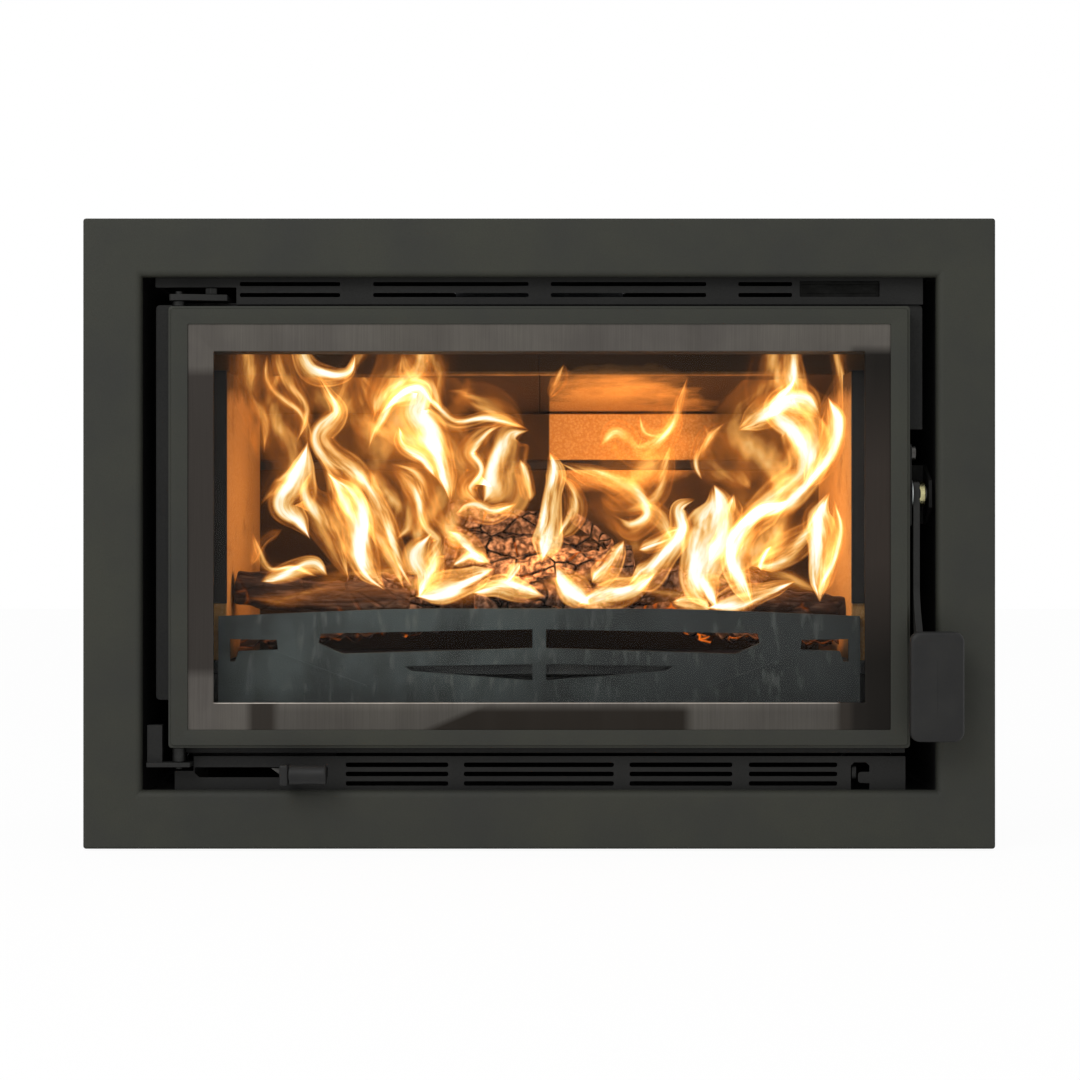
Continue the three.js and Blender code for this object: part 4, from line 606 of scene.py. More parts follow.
def carried_round(section, corner_steps=10):
    """A closed section carried round a rectangle: one [box, y, corner radius] for each section point.

    Each point's way is the box with its corners rounded: four quarter circles of that radius.
    """
    turn = np.linspace(0, math.pi / 2, corner_steps + 1)
    angle = np.concatenate([turn + quarter * math.pi / 2 for quarter in range(4)])
    lines = []
    for (x0, x1, z0, z1), y, radius in section:
        left, right, bottom, top = x0 + radius, x1 - radius, z0 + radius, z1 - radius
        x = np.repeat([right, left, left, right], len(turn)) + radius * np.cos(angle)
        z = np.repeat([top, top, bottom, bottom], len(turn)) + radius * np.sin(angle)
        lines.append(np.stack([x, np.full_like(x, y), z], -1))
    return np.stack(lines)


def rolled(box, start, end, radius, count=8):
    """Section points of a rolled edge: a quarter turn from start to end, as [inset, depth] offsets."""
    angle = np.linspace(0, math.pi / 2, count)
    (inset_a, depth_a), (inset_b, depth_b) = start, end
    inset = inset_a + (inset_b - inset_a) * (1 - np.cos(angle))
    depth = depth_a + (depth_b - depth_a) * np.sin(angle)
    return [[grow(box, i), d, radius] for i, d in zip(inset, depth)]


def lathe(profile, centre, axis="Z", sides=64):
    """A profile of [radius, height] turned about an axis, X or Z, through centre."""
    profile = np.array(profile, float)
    turn = circle(sides)
    radius = profile[:, :1]
    across = radius * np.cos(turn)
    up = radius * np.sin(turn)
    height = np.repeat(profile[:, 1:], sides, 1)
    order = (across, up, height) if axis == "Z" else (height, across, up)
    return np.stack(order, -1) + np.array(centre)


def ripple(points, size, seed, waves=24):
    """Smooth noise in -1..1: a mean of sine waves about size metres long in seeded directions."""
    chance = np.random.default_rng(seed)
    ways = chance.normal(size=(waves, 3))
    ways *= 2 * math.pi / size / np.linalg.norm(ways, axis=1, keepdims=True)
    phase = chance.uniform(0, 2 * math.pi, waves)
    return np.sin(points @ ways.T + phase).sum(-1) / math.sqrt(waves * 2)


# ---------- sheet-steel rings: surround, leaf, trim ----------
def make_surround():
    """The surround: an inner return rolled over into the flat front and turned back at the outside."""
    outer = node_box("surround_frame")
    opening = grow(outer, -FRAME_BORDER)
    front = FRAME_FRONT
    inner_corner, outer_corner = 1.2 * MM, 2.5 * MM
    edge = 2 * MM
    behind = FRAME_ROLL - FRAME_SHEET
    section = [[opening, front + FRAME_RETURN, inner_corner]]
    section += rolled(opening, (0, front + FRAME_ROLL), (FRAME_ROLL, front), inner_corner)
    section += rolled(outer, (-edge, front), (0, front + edge), outer_corner)
    section += [
        [outer, WALL_FACE, outer_corner],
        [grow(outer, -FRAME_SHEET), WALL_FACE, inner_corner],
        [grow(outer, -FRAME_SHEET), front + FRAME_SHEET, inner_corner],
    ]
    inside = rolled(
        opening,
        (FRAME_SHEET, front + FRAME_ROLL),
        (FRAME_SHEET + behind, front + FRAME_SHEET),
        inner_corner,
    )
    section += inside[::-1] + [[grow(opening, FRAME_SHEET), front + FRAME_RETURN, inner_corner]]
    made = surface_object("surround_frame_sheet", [(carried_round(section), True, True)])
    dress(made, "surround_frame")


def make_leaf():
    """The leaf's outer skin: a pressed tray with a window, its edges turned at 2.5 mm."""
    door = node_box("door_frame")
    low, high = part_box("door_frame")
    x0, x1, z0, z1 = door
    sight = [x0 + DOOR_SIDE_BAND, x1 - DOOR_SIDE_BAND, z0 + DOOR_END_BAND, z1 - DOOR_END_BAND]
    front, back = low.y, high.y
    edge, lip = 2.5 * MM, 0.5 * MM
    corner, inside_corner = 3 * MM, 1.5 * MM
    sight_corner, behind_sight = 1.2 * MM, 1 * MM
    section = [[sight, front + DOOR_SHEET, behind_sight]]
    section += rolled(sight, (0, front + lip), (lip, front), sight_corner, 4)
    section += rolled(door, (-edge, front), (0, front + edge), corner)
    section += [[door, back, corner], [grow(door, -DOOR_SHEET), back, inside_corner]]
    section += [[grow(door, -DOOR_SHEET), front + DOOR_SHEET, inside_corner]]
    dress(surface_object("door_frame_skin", [(carried_round(section), True, True)]), "door_frame")


def make_trim():
    """The glass trim: a flat brushed ring, its inner edge turned towards the glass."""
    outer = node_box("glass_trim")
    low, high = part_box("glass_trim")
    side = 22.7 * MM + TRIM_LAP
    end = 24 * MM + TRIM_LAP
    x0, x1, z0, z1 = outer
    inner = [x0 + side, x1 - side, z0 + end, z1 - end]
    edge, corner, inner_corner = 1.2 * MM, 2 * MM, 1 * MM
    section = [[outer, low.y, corner], [grow(inner, edge), low.y, inner_corner]]
    section += rolled(inner, (0, low.y + edge), (edge, low.y), inner_corner, 6)[::-1]
    section += [[inner, high.y, inner_corner], [outer, high.y, corner]]
    dress(surface_object("glass_trim_sheet", [(carried_round(section), True, True)]), "glass_trim")


# ---------- rope seals ----------
def way_round(box, radius, count):
    """Points, outward directions and run lengths along a rounded rectangle in the XZ plane."""
    x0, x1, z0, z1 = box
    width, height = x1 - x0 - 2 * radius, z1 - z0 - 2 * radius
    arc = radius * math.pi / 2
    lengths = np.cumsum([0, height, arc, width, arc, height, arc, width, arc])
    run = np.linspace(0, lengths[-1], count, endpoint=False)
    leg = np.searchsorted(lengths, run, "right") - 1
    into = run - lengths[leg]
    side = leg // 2
    angle = side * math.pi / 2 + np.where(leg % 2, into / radius, 0)
    centres_x = np.array([x1, x0, x0, x1])[side] + radius * np.array([-1, 1, 1, -1])[side]
    centres_z = np.array([z1, z1, z0, z0])[side] + radius * np.array([-1, -1, 1, 1])[side]
    out = np.stack([np.cos(angle), np.zeros(count), np.sin(angle)], -1)
    along = np.stack([-np.sin(angle), np.zeros(count), np.cos(angle)], -1)
    points = np.stack([centres_x, np.zeros(count), centres_z], -1) + radius * out
    straight = np.where(leg % 2, 0, into - np.array([height, width, height, width])[side])
    return points + along * straight[:, None], out, run


def make_rope(name, node, half_width, half_depth, stitch):
    """A knitted seal: an oval tube round the leaf whose skin rises in crossed diagonal stitches.

    Height over the oval is the larger of two sine waves that wind round it in opposite ways.
    """
    low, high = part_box(node)
    corner, spacing, strands = 7 * MM, 1.1 * MM, 5
    count = int(2 * (high.x - low.x + high.z - low.z) / spacing)
    points, out, run = way_round(grow(node_box(node), -half_width), corner, count)
    around = circle(20)
    wind = 2 * math.pi * run[:, None] / stitch
    first = np.abs(np.sin((strands * around + wind) / 2))
    second = np.abs(np.sin((strands * around - wind) / 2))
    height = 0.14  # of the half width, from the groove between stitches to their top
    rise = 1 - height + height * np.maximum(first, second)
    square = 0.8  # below 1 the oval grows flatter sides
    across = np.sign(np.cos(around)) * np.abs(np.cos(around)) ** square * rise * half_width
    deep = np.sign(np.sin(around)) * np.abs(np.sin(around)) ** square * rise * half_depth
    grid = points[:, None] + across[..., None] * out[:, None]
    grid[..., 1] += (low.y + high.y) / 2 + deep
    dress(surface_object(name, [(grid, True, True)], 60), node)


# ---------- turned and moulded pieces ----------
def moulded_block(low, high, radius, cuts=26):
    """Six faces of a box with rounded edges, each a grid over two of its ways.

    A point of the box is drawn in to the box that lies radius inside, and pushed out again by
    radius along the line between the two.
    """
    low, high = np.array(low), np.array(high)
    middle, half = (low + high) / 2, (high - low) / 2
    way = np.sin(np.linspace(-math.pi / 2, math.pi / 2, cuts))
    first, second = np.meshgrid(way, way, indexing="ij")
    faces = []
    for axis in range(3):
        for end in (-1, 1):
            cube = np.empty(first.shape + (3,))
            cube[..., axis] = end
            cube[..., (axis + 1) % 3] = first
            cube[..., (axis + 2) % 3] = second
            at = cube * half
            core = np.clip(at, -(half - radius), half - radius)
            away = at - core
            away /= np.maximum(np.linalg.norm(away, axis=-1, keepdims=True), 1e-9)
            faces.append((core + radius * away + middle, False, False))
    return faces


def make_handle_pad():
    """Handle grip: a flat moulded pad, rounded corners in its outline and rolled edges.

    Rounded rectangles are stacked from the middle of the back, round both edges, to the middle
    of the face, which crowns by 0.8 mm over its width.
    """
    low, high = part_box("handle_pad")
    box = node_box("handle_pad")
    roll, corner, crown = 3.4 * MM, 9 * MM, 0.8 * MM
    tip, tip_corner = 0.05 * MM, 0.02 * MM  # half width and corner of the innermost rectangle
    middle = (high.x - low.x) / 2 - tip
    front = low.y + crown
    section = [[grow(box, -middle), high.y, tip_corner]]
    section += rolled(box, (-roll, high.y), (0, high.y - roll), corner)
    section += rolled(box, (0, front + roll), (-roll, front), corner)
    for share in (0.25, 0.5, 0.75, 1.0):
        inset = roll + (middle - roll) * share
        section.append([grow(box, -inset), front - crown * share, corner * (1 - share) + tip_corner])
    dress(surface_object("handle_pad_grip", [(carried_round(section), False, True)], 60), "handle_pad")


def make_knob():
    """Air knob: a moulded barrel with a slight waist, rounded ends and a dimple, and its end ring."""
    low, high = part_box("air_knob")
    length = high.x - low.x
    radius = (high.z - low.z) / 2
    ease, hollow = 1.6 * MM, 0.5 * MM
    turn = np.linspace(0, math.pi / 2, 7)
    start = [[(radius - ease) + ease * math.sin(a), ease - ease * math.cos(a)] for a in turn]
    waist = [
        [radius - hollow * math.sin(math.pi * t), ease + (length - 2 * ease) * t]
        for t in np.linspace(0.08, 0.92, 12)
    ]
    end = [[r, length - h] for r, h in start[::-1]]
    dimple, dip = radius * 0.55, 0.6 * MM
    profile = [[0, 0], [radius * 0.5, 0]] + start + waist + end
    profile += [[dimple + dip, length], [dimple, length - dip], [0, length - dip]]
    centre = (low.x, (low.y + high.y) / 2, (low.z + high.z) / 2)
    made = surface_object("air_knob_barrel", [(lathe(profile, centre, "X"), False, True)], 50)
    dress(made, "air_knob")
    thick, round_edge = 7.5 * MM, 2 * MM
    near, far = low.y - 0.2 * MM, high.y + 1.2 * MM
    faces = moulded_block([low.x - thick, near, low.z], [low.x, far, high.z], round_edge)
    dress(surface_object("air_knob_end", faces, 50), body="air_slider", slot="handle_grip")


def make_collar():
    """Smoke outlet: a cast spigot with a filleted flange and a rounded rim."""
    low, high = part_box("flue_collar")
    height = high.z - low.z
    flange = (high.x - low.x) / 2
    bore, wall, plate = 75 * MM, 5 * MM, 5 * MM
    outer = bore + wall
    fillet, ease = 4 * MM, 1.2 * MM
    turn = np.linspace(0, math.pi / 2, 7)
    root = [[outer + fillet * (1 - math.sin(a)), plate + fillet * (1 - math.cos(a))] for a in turn]
    profile = [[bore, 0], [flange, 0], [flange, plate - ease], [flange - ease, plate]] + root
    profile += [[outer, height - ease], [outer - ease, height]]
    profile += [[bore + ease, height], [bore, height - ease]]
    centre = ((low.x + high.x) / 2, (low.y + high.y) / 2, low.z)
    ring = lathe(profile, centre, sides=96)
    dress(surface_object("flue_collar_casting", [(ring, True, True)]), "flue_collar")


def hexagon(radius, low, high, centre, chamfer=0.48 * MM):
    """A hexagon nut about Z, its corners chamfered at both ends.

    In each turn the flat's distance is the apothem over the cosine of the angle from its middle.
    """
    turn = circle(60)
    apothem = radius * math.cos(math.pi / 6)
    flat = apothem / np.cos((turn % (math.pi / 3)) - math.pi / 6)
    heights = [low, low, low + chamfer, high - chamfer, high, high]
    rows = []
    for share, height in zip([0 * flat, apothem, flat, flat, apothem, 0 * flat], heights):
        rows.append(np.stack([share * np.cos(turn), share * np.sin(turn), 0 * turn + height], -1))
    return np.stack(rows) + np.array(centre)


def make_foot(node):
    """Levelling foot: a dished pad, a threaded stem with a 1.75 mm pitch and its lock nut.

    The thread is a stem whose radius follows a sawtooth of height less turn.
    """
    low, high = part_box(node)
    centre = ((low.x + high.x) / 2, (low.y + high.y) / 2, low.z)
    height = high.z - low.z
    pad = [[0, 0], [19, 0], [20, 1], [20, 4], [18.6, 5.4], [9, 9], [7.4, 10.4], [0, 10.4]]
    nut_radius, nut_height = 10.9 * MM, 12 * MM
    pitch, core, tooth_height = 1.75 * MM, 5 * MM, 0.9 * MM
    inside_pad, inside_nut = 9 * MM, 1 * MM  # the stem's ends are hidden in both
    rise = np.arange(inside_pad, height - inside_nut, pitch / 8)
    turn = circle(32)
    tooth = np.abs(((rise[:, None] / pitch - turn / (2 * math.pi)) % 1) * 2 - 1)
    radius = core + tooth_height * tooth
    radius[[0, -1]] = 0
    stem = np.stack([radius * np.cos(turn), radius * np.sin(turn), np.repeat(rise[:, None], 32, 1)], -1)
    nut = hexagon(nut_radius, height - nut_height, height, centre)
    pad = lathe(np.array(pad) * MM, centre)
    surfaces = [(grid, False, True) for grid in (pad, stem + np.array(centre), nut)]
    dress(surface_object(node + "_leveller", surfaces, 35), node)


def make_casing_screws():
    """Pan-head screws along the casing's edges: a dome 8 mm across with a round drive recess.

    Each side panel has two rows of four, the top panel one row of six along its rear edge.
    """
    head = [[0, -0.5], [4, -0.5], [4, 0.5], [3.6, 1.4], [2.6, 2.0], [1.5, 2.2], [1.2, 1.0], [0, 1.0]]
    head = np.array(head) * MM
    low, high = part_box("casing_left")
    edge, front_end, rear_end, reach = 9 * MM, 40 * MM, 22 * MM, 330
    heads = []
    for side, x in ((-1, low.x), (1, -low.x)):
        for z in (low.z + edge, high.z - edge):
            for y in np.linspace(WALL_FACE + front_end, high.y - rear_end, 4):
                heads.append((lathe(head * (1, side), (x, y, z), "X", 24), False, True))
    for x in np.linspace(-reach, reach, 6) * MM:
        heads.append((lathe(head, (x, high.y - edge, high.z), sides=24), False, True))
    dress(surface_object("casing_screws", heads, 35), body="body", slot="zinc")


def make_casing_flange():
    """Strip inside the casing that closes the joint between its back and its base."""
    back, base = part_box("casing_back"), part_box("casing_base")
    height, thick, edge = 12 * MM, 1.5 * MM, 0.4 * MM
    low = [back[0].x, back[0].y - thick, base[1].z]
    high = [back[1].x, back[0].y, base[1].z + height]
    made = surface_object("casing_back_flange", moulded_block(low, high, edge, 6), 35)
    dress(made, body="body", slot="casing_sheet")


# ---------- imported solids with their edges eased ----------
def make_eased(node, radius):
    """The node's own solid, its triangles merged and its sharp edges rounded by radius."""
    mesh = NODES[node].data.copy()
    work = bmesh.new()
    work.from_mesh(mesh)
    bmesh.ops.remove_doubles(work, verts=work.verts, dist=1e-6)
    flat = math.radians(1)
    bmesh.ops.dissolve_limit(work, angle_limit=flat, verts=work.verts, edges=work.edges)
    work.to_mesh(mesh)
    work.free()
    sharp = 30
    made = smooth_object(node + "_eased", mesh, sharp)
    bevel = made.modifiers.new("edges", "BEVEL")
    bevel.width = radius
    bevel.segments = 2
    bevel.limit_method = "ANGLE"
    bevel.angle_limit = math.radians(sharp)
    made.modifiers.new("flat_faces", "WEIGHTED_NORMAL").keep_sharp = True
    dress(made, node)


SHEET_EDGE = 0.4 * MM
THIN_SLOTS = ("inner_paint", "casing_sheet", "plate_steel", "bare_steel", "zinc", "brass")
EDGE_OF_SLOT = dict.fromkeys(THIN_SLOTS, SHEET_EDGE)
EDGE_OF_SLOT |= {"firebox_steel": 0.8 * MM, "cast_iron": 1.5 * MM, "brick": 1.2 * MM}


# ---------- stage: floor, fire, logs, camera and light ----------
def make_floor():
    """A wide pale floor that keeps the object's shadow."""
    half = 9.0
    way = np.linspace(-half, half, 2)
    x, y = np.meshgrid(way, way, indexing="ij")
    floor = surface_object("floor", [(np.stack([x, y, 0 * x], -1), False, False)])
    made, tree = new_material("pale_floor")
    finish(made, Base_Color="#f4f4f4", Roughness=0.9, Specular_IOR_Level=0.1)
    bright, share = 1.01, 0.94  # its own light, and how much of that the eye sees
    own = add(tree, "Emission", Strength=bright)
    mixed = overlap(tree, seen_rays(tree), share)
    mixed = add(tree, "MixShader", mixed, tree.nodes["Principled BSDF"], own)
    fill(tree.nodes["Material Output"].inputs["Surface"], mixed)
    floor.data.materials.append(made)
    floor.visible_shadow = False


def make_world():
    """White to the camera and in reflections, and a plain pale light on the object."""
    world = bpy.data.worlds.new("studio")
    bpy.context.scene.world = world
    world.use_nodes = True
    tree = world.node_tree
    ambient = 0.62
    back = tree.nodes["Background"]
    fill(back.inputs["Color"], "#ffffff")
    fill(back.inputs["Strength"], (seen_rays(tree), 0, 1, ambient, 1))


def make_key_lamp(place, aim, size, power):
    """A square area lamp at place, facing aim."""
    data = bpy.data.lights.new("key", "AREA")
    data.size = size
    data.energy = power
    made = put("key", data, place)
    x, y, z = np.array(aim) - np.array(place)
    made.rotation_euler = (math.atan2(math.hypot(x, y), -z), 0, math.atan2(y, x) - math.pi / 2)


def make_glow(name, place, power, radius):
    """A warm point lamp inside the firebox, standing for the fire's light."""
    data = bpy.data.lights.new(name, "POINT")
    data.energy = power
    data.shadow_soft_size = radius
    data.color = (1.0, 0.5, 0.17)
    made = put(name, data, place)
    made.visible_camera = made.visible_glossy = made.visible_transmission = False


def make_camera():
    """The photograph's camera: level, in front of the frame and looking straight at it."""
    data = bpy.data.cameras.new("photo_camera")
    data.sensor_width = SENSOR
    data.lens = SENSOR * CAMERA_DISTANCE / PHOTO_WIDTH
    made = put("photo_camera", data, (CAMERA_X, FRAME_FRONT - CAMERA_DISTANCE, CAMERA_HEIGHT))
    made.rotation_euler = (math.pi / 2, 0, 0)
    bpy.context.scene.camera = made


def flame_material():
    """Burning gas: light only. Its burn attribute, streaked along the flow, runs brown to white."""
    made, tree = new_material("flame")
    tree.nodes.remove(tree.nodes["Principled BSDF"])
    heat = add(tree, "Attribute", attribute_name="burn").outputs["Fac"]
    flow = add(tree, "Attribute", attribute_name="flow").outputs["Vector"]
    streaks = add(tree, "TexNoise", flow, Scale=1, Detail=3, Roughness=0.55)
    streaks = (streaks, 0.3, 0.66, 0.34, 1.25)
    broken = add(tree, "Math", heat, streaks, operation="MULTIPLY")
    dull = [(0.0, "#000000"), (0.1, "#2a1205"), (0.26, "#8a4c16"), (0.44, "#e5a04e")]
    hot = [(0.62, "#ffd38a"), (0.8, "#fff0cc"), (1.0, "#fffdf2")]
    colour = add(tree, "ValToRGB", broken, stops=dull + hot)
    power = (broken, 0, 1.1, 0.7, 1.3)
    glow = add(tree, "Emission", colour, power)
    both = add(tree, "AddShader", glow, add(tree, "BsdfTransparent"))
    fill(tree.nodes["Material Output"].inputs["Surface"], both)
    return made


# Ribbons of flame, one a line, given in millimetres: depth behind the front plate and
# brightness, then x, z and half width of each point of the middle line.
FLAMES = """
118 0.42  -150 240 20  -170 300 40  -180 360 46  -190 420 40  -196 450 30
120 0.42  -110 260 20  -104 320 36  -110 380 44  -118 425 34  -120 450 20
122 0.3  -30 290 16  -40 330 34  -50 370 40  -60 410 30  -70 430 14
124 0.3  90 250 30  100 300 46  96 350 50  104 390 30  118 415 12
121 0.46  200 230 20  206 290 34  210 350 44  214 400 36  226 446 12
26 0.34  -262 222 10  -180 232 14  -90 236 16  0 234 14
25 0.38  -10 232 12  90 236 16  180 238 18  266 224 12
116 0.44  -70 250 14  -84 300 24  -96 350 30  -140 392 26  -176 440 16
115 0.42  180 240 14  226 300 24  246 360 26  236 410 20  240 446 10
28 1.15  -60 226 3  -36 232 8  -14 226 6  6 222 2
27 1.2  34 214 3  58 222 9  84 230 8  104 244 3
29 1  150 212 4  176 220 9  206 228 6  230 236 2
35 0.9  -250 236 2  -226 244 6  -204 250 7  -190 240 3
60 0.8  -76 296 3  -60 300 7  -42 296 7  -20 306 3
112 0.42  -258 305 6  -235 342 15  -244 379 21  -233 412 18  -240 444 14
104 0.5  -210 356 4  -219 389 6  -244 416 6  -250 444 5
84 1  -224 462 5  -211 430 7  -191 422 7  -174 426 4  -168 444 2
72 0.42  -249 351 4  -251 375 8  -266 407 10  -265 439 12  -268 468 10
70 0.48  -221 361 3  -214 393 6  -226 416 8  -233 444 8  -230 468 8
90 0.22  -258 350 14  -250 390 24  -250 430 28  -252 468 26
86 0.6  -150 385 6  -140 410 16  -124 432 20  -116 450 14  -114 470 12
89 0.34  -104 390 8  -97 420 14  -100 450 16  -102 470 14
91 0.44  -190 380 6  -172 410 12  -160 440 14  -156 468 12
87 0.8  240 390 8  230 416 10  229 442 8  231 468 6
92 0.42  206 380 10  212 420 18  218 446 18  220 468 14
76 0.45  9 402 3  20 418 6  23 434 2
76 0.92  -116 231 4  -130 259 8  -142 282 9  -154 310 10  -170 333 10  -190 351 10  -198 368 8  -183 389 7 \
     -193 408 6  -205 427 5
88 0.6  -124 227 4  -147 268 12  -170 305 14  -184 328 9  -203 352 5
60 1.25  -208 274 1  -217 289 7  -228 304 12  -219 320 14  -213 340 8  -209 363 1
56 1.3  -139 228 3  -153 245 8  -162 268 11  -165 291 12  -176 315 9  -193 335 4
64 0.66  -172 236 2  -184 264 7  -198 291 14  -210 315 10  -205 338 4
70 0.85  -109 229 5  -99 245 12  -86 273 11  -99 289 9  -106 310 10  -115 329 12  -137 343 5
82 1.2  -81 307 2  -83 326 6  -90 348 10  -103 369 14  -116 389 13  -110 408 8  -131 402 8  -147 386 5
92 0.85  -157 356 2  -150 379 6  -135 404 6  -111 413 6  -100 397 6  -78 379 5  -46 384 5  -18 379 6 \
     -8 372 2
98 0.55  -92 389 5  -100 416 10  -115 426 12  -125 446 8
100 0.42  -13 375 4  -32 391 10  -59 402 12  -87 409 6
72 0.95  -128 376 3  -122 360 6  -103 349 6  -92 328 4
94 0.5  -133 273 14  -129 305 18  -143 328 14  -157 342 6
66 0.9  -50 306 12  -35 317 20  -34 335 18  -31 354 15  -26 370 11  -8 373 2
78 0.75  -54 306 5  -66 320 7  -57 337 7  -66 353 6  -49 371 6  -32 378 4
80 0.7  -9 308 4  -13 328 6  -18 347 5
40 1.2  -108 221 5  -100 241 11  -104 259 13  -96 280 4
46 0.95  -47 253 4  -63 265 9  -83 281 4
34 1.25  -111 223 4  -87 230 10  -59 238 9  -39 247 3
48 0.8  -78 250 3  -59 257 6  -43 250 3
58 0.6  -200 240 3  -221 248 5  -244 246 4  -255 261 4  -260 281 2
68 0.5  -263 250 2  -250 273 4  -233 283 3
38 1.4  2 253 6  7 271 11  10 289 7  12 312 6  15 333 7  9 352 5
50 0.75  18 275 6  32 295 7  30 315 6  17 333 3
44 1.1  -30 235 2  -24 244 4  -17 253 1
96 0.62  54 357 4  71 369 10  89 352 11  108 358 8  124 380 6  127 409 2
102 0.68  68 295 5  84 284 9  100 297 10  85 316 11  61 328 9  40 335 6  15 346 2
106 0.58  56 314 5  72 304 8  100 315 11  114 334 8  123 363 4
90 0.55  92 388 2  100 371 6  121 376 6  136 422 2
110 0.32  89 273 18  84 305 37  84 338 42  89 370 23
86 0.6  121 273 6  109 291 9  93 305 6
42 1.45  159 210 6  145 236 13  149 259 18  158 282 19  162 305 16  157 323 9
36 1.3  80 230 6  100 242 10  115 261 8  127 282 7  125 302 6  140 310 3
52 1.1  176 315 4  172 296 9  167 273 9  153 250 7
54 1.2  193 212 4  181 236 8  177 259 9  187 282 10  205 298 9  230 311 4
74 1.1  175 236 5  177 268 8  196 295 11  223 315 13  242 334 14  246 357 15  236 379 16  219 394 11 \
     232 417 5  230 440 1
62 1.15  240 318 5  252 338 8  264 360 9  267 383 8  262 403 4
80 1.05  181 373 3  208 390 11  236 398 14  258 384 9
46 1.4  253 217 2  253 245 7  255 273 10  252 296 9  262 317 2
60 0.8  253 222 4  264 250 6  269 282 6  267 310 2
66 0.85  194 250 6  219 261 12  246 281 7  253 305 4
114 0.4  195 319 14  181 342 24  163 361 18  151 380 7
108 0.55  150 328 3  146 347 5  156 370 6  172 382 4
88 0.5  274 375 2  277 407 5  274 439 5  275 466 4
32 1.25  45 215 6  29 231 10  15 250 3
30 1.2  48 234 6  64 250 8  76 273 3
34 1.1  153 209 9  135 214 9  119 217 4
33 1.1  89 264 3  107 271 6  130 282 4
40 0.9  200 245 6  204 257 5  209 268 2
"""


def smooth_path(points, count):
    """Catmull-Rom curve through the points, with the end points mirrored beyond both ends."""
    points = np.concatenate([[2 * points[0] - points[1]], points, [2 * points[-1] - points[-2]]])
    at = np.linspace(0, len(points) - 3 - 1e-9, count)
    leg = at.astype(int)
    t = (at - leg)[:, None]
    a, b, c, d = (points[leg + step] for step in range(4))
    bend = (2 * a - 5 * b + 4 * c - d) * t**2 + (3 * b - a - 3 * c + d) * t**3
    return (2 * b + (c - a) * t + bend) / 2


def make_flames():
    """Each flame is a ribbon that follows its middle line, as a sheet of burning gas.

    Its heat is a soft body, one ridge that wanders from side to side along it and a thin bright
    rim at both edges, all fading at its two ends.
    """
    across = np.linspace(-1, 1, 41)[None, :]
    steps_along = 150
    ribbons, heats, flows = [], [], []
    for number, row in enumerate(FLAMES.strip().splitlines()):
        depth, bright, *points = map(float, row.split())
        path = smooth_path(np.reshape(points, (-1, 3)), steps_along)
        way = np.gradient(path[:, :2], axis=0)
        step = np.linalg.norm(way, axis=1)
        way /= step[:, None]
        run = np.cumsum(step)[:, None]
        share = run / run[-1]
        taper = np.clip(share / 0.16, 0, 1) ** 0.6 * np.clip((1 - share) / 0.22, 0, 1) ** 0.6
        swell = 1 + 0.1 * np.sin(run / 9 + number)
        half = (1.45 * np.maximum(path[:, 2:], 0) + 1.5) * swell * taper  # and its faint edge
        x = path[:, :1] - way[:, 1:] * half * across
        z = path[:, 1:2] + way[:, :1] * half * across
        y = FIREBOX_FRONT / MM + depth + 6 * np.sin(run / 40 + number) + 0 * across
        body = (1 - np.abs(across) ** 2.4) ** 1.4
        ridge = np.exp(-(((across - 0.5 * np.sin(run / 26 + 2 * number)) / 0.27) ** 2))
        rim = np.exp(-(((np.abs(across) - 0.8) / 0.09) ** 2))
        fade = np.clip(share / 0.1, 0, 1) * np.clip((1 - share) / 0.14, 0, 1)
        heat = bright * (0.54 * body + 0.6 * ridge * body + 0.2 * rim) * fade**0.6
        flow = [1.9 * across + 0 * run, run / 48 + 0 * across, 9.7 * number + 0 * x]
        ribbons.append((np.stack([x, y, z], -1) * MM, False, False))
        heats.append(heat.ravel())
        flows.append(np.stack(flow, -1).reshape(-1, 3))
    flames = surface_object("flames", ribbons, 180, closed=False)
    values = flames.data.attributes.new("burn", "FLOAT", "POINT")
    values.data.foreach_set("value", np.concatenate(heats).astype(np.float32))
    values = flames.data.attributes.new("flow", "FLOAT_VECTOR", "POINT")
    values.data.foreach_set("vector", np.concatenate(flows).astype(np.float32).ravel())
    flames.data.materials.append(flame_material())
    flames.visible_shadow = False


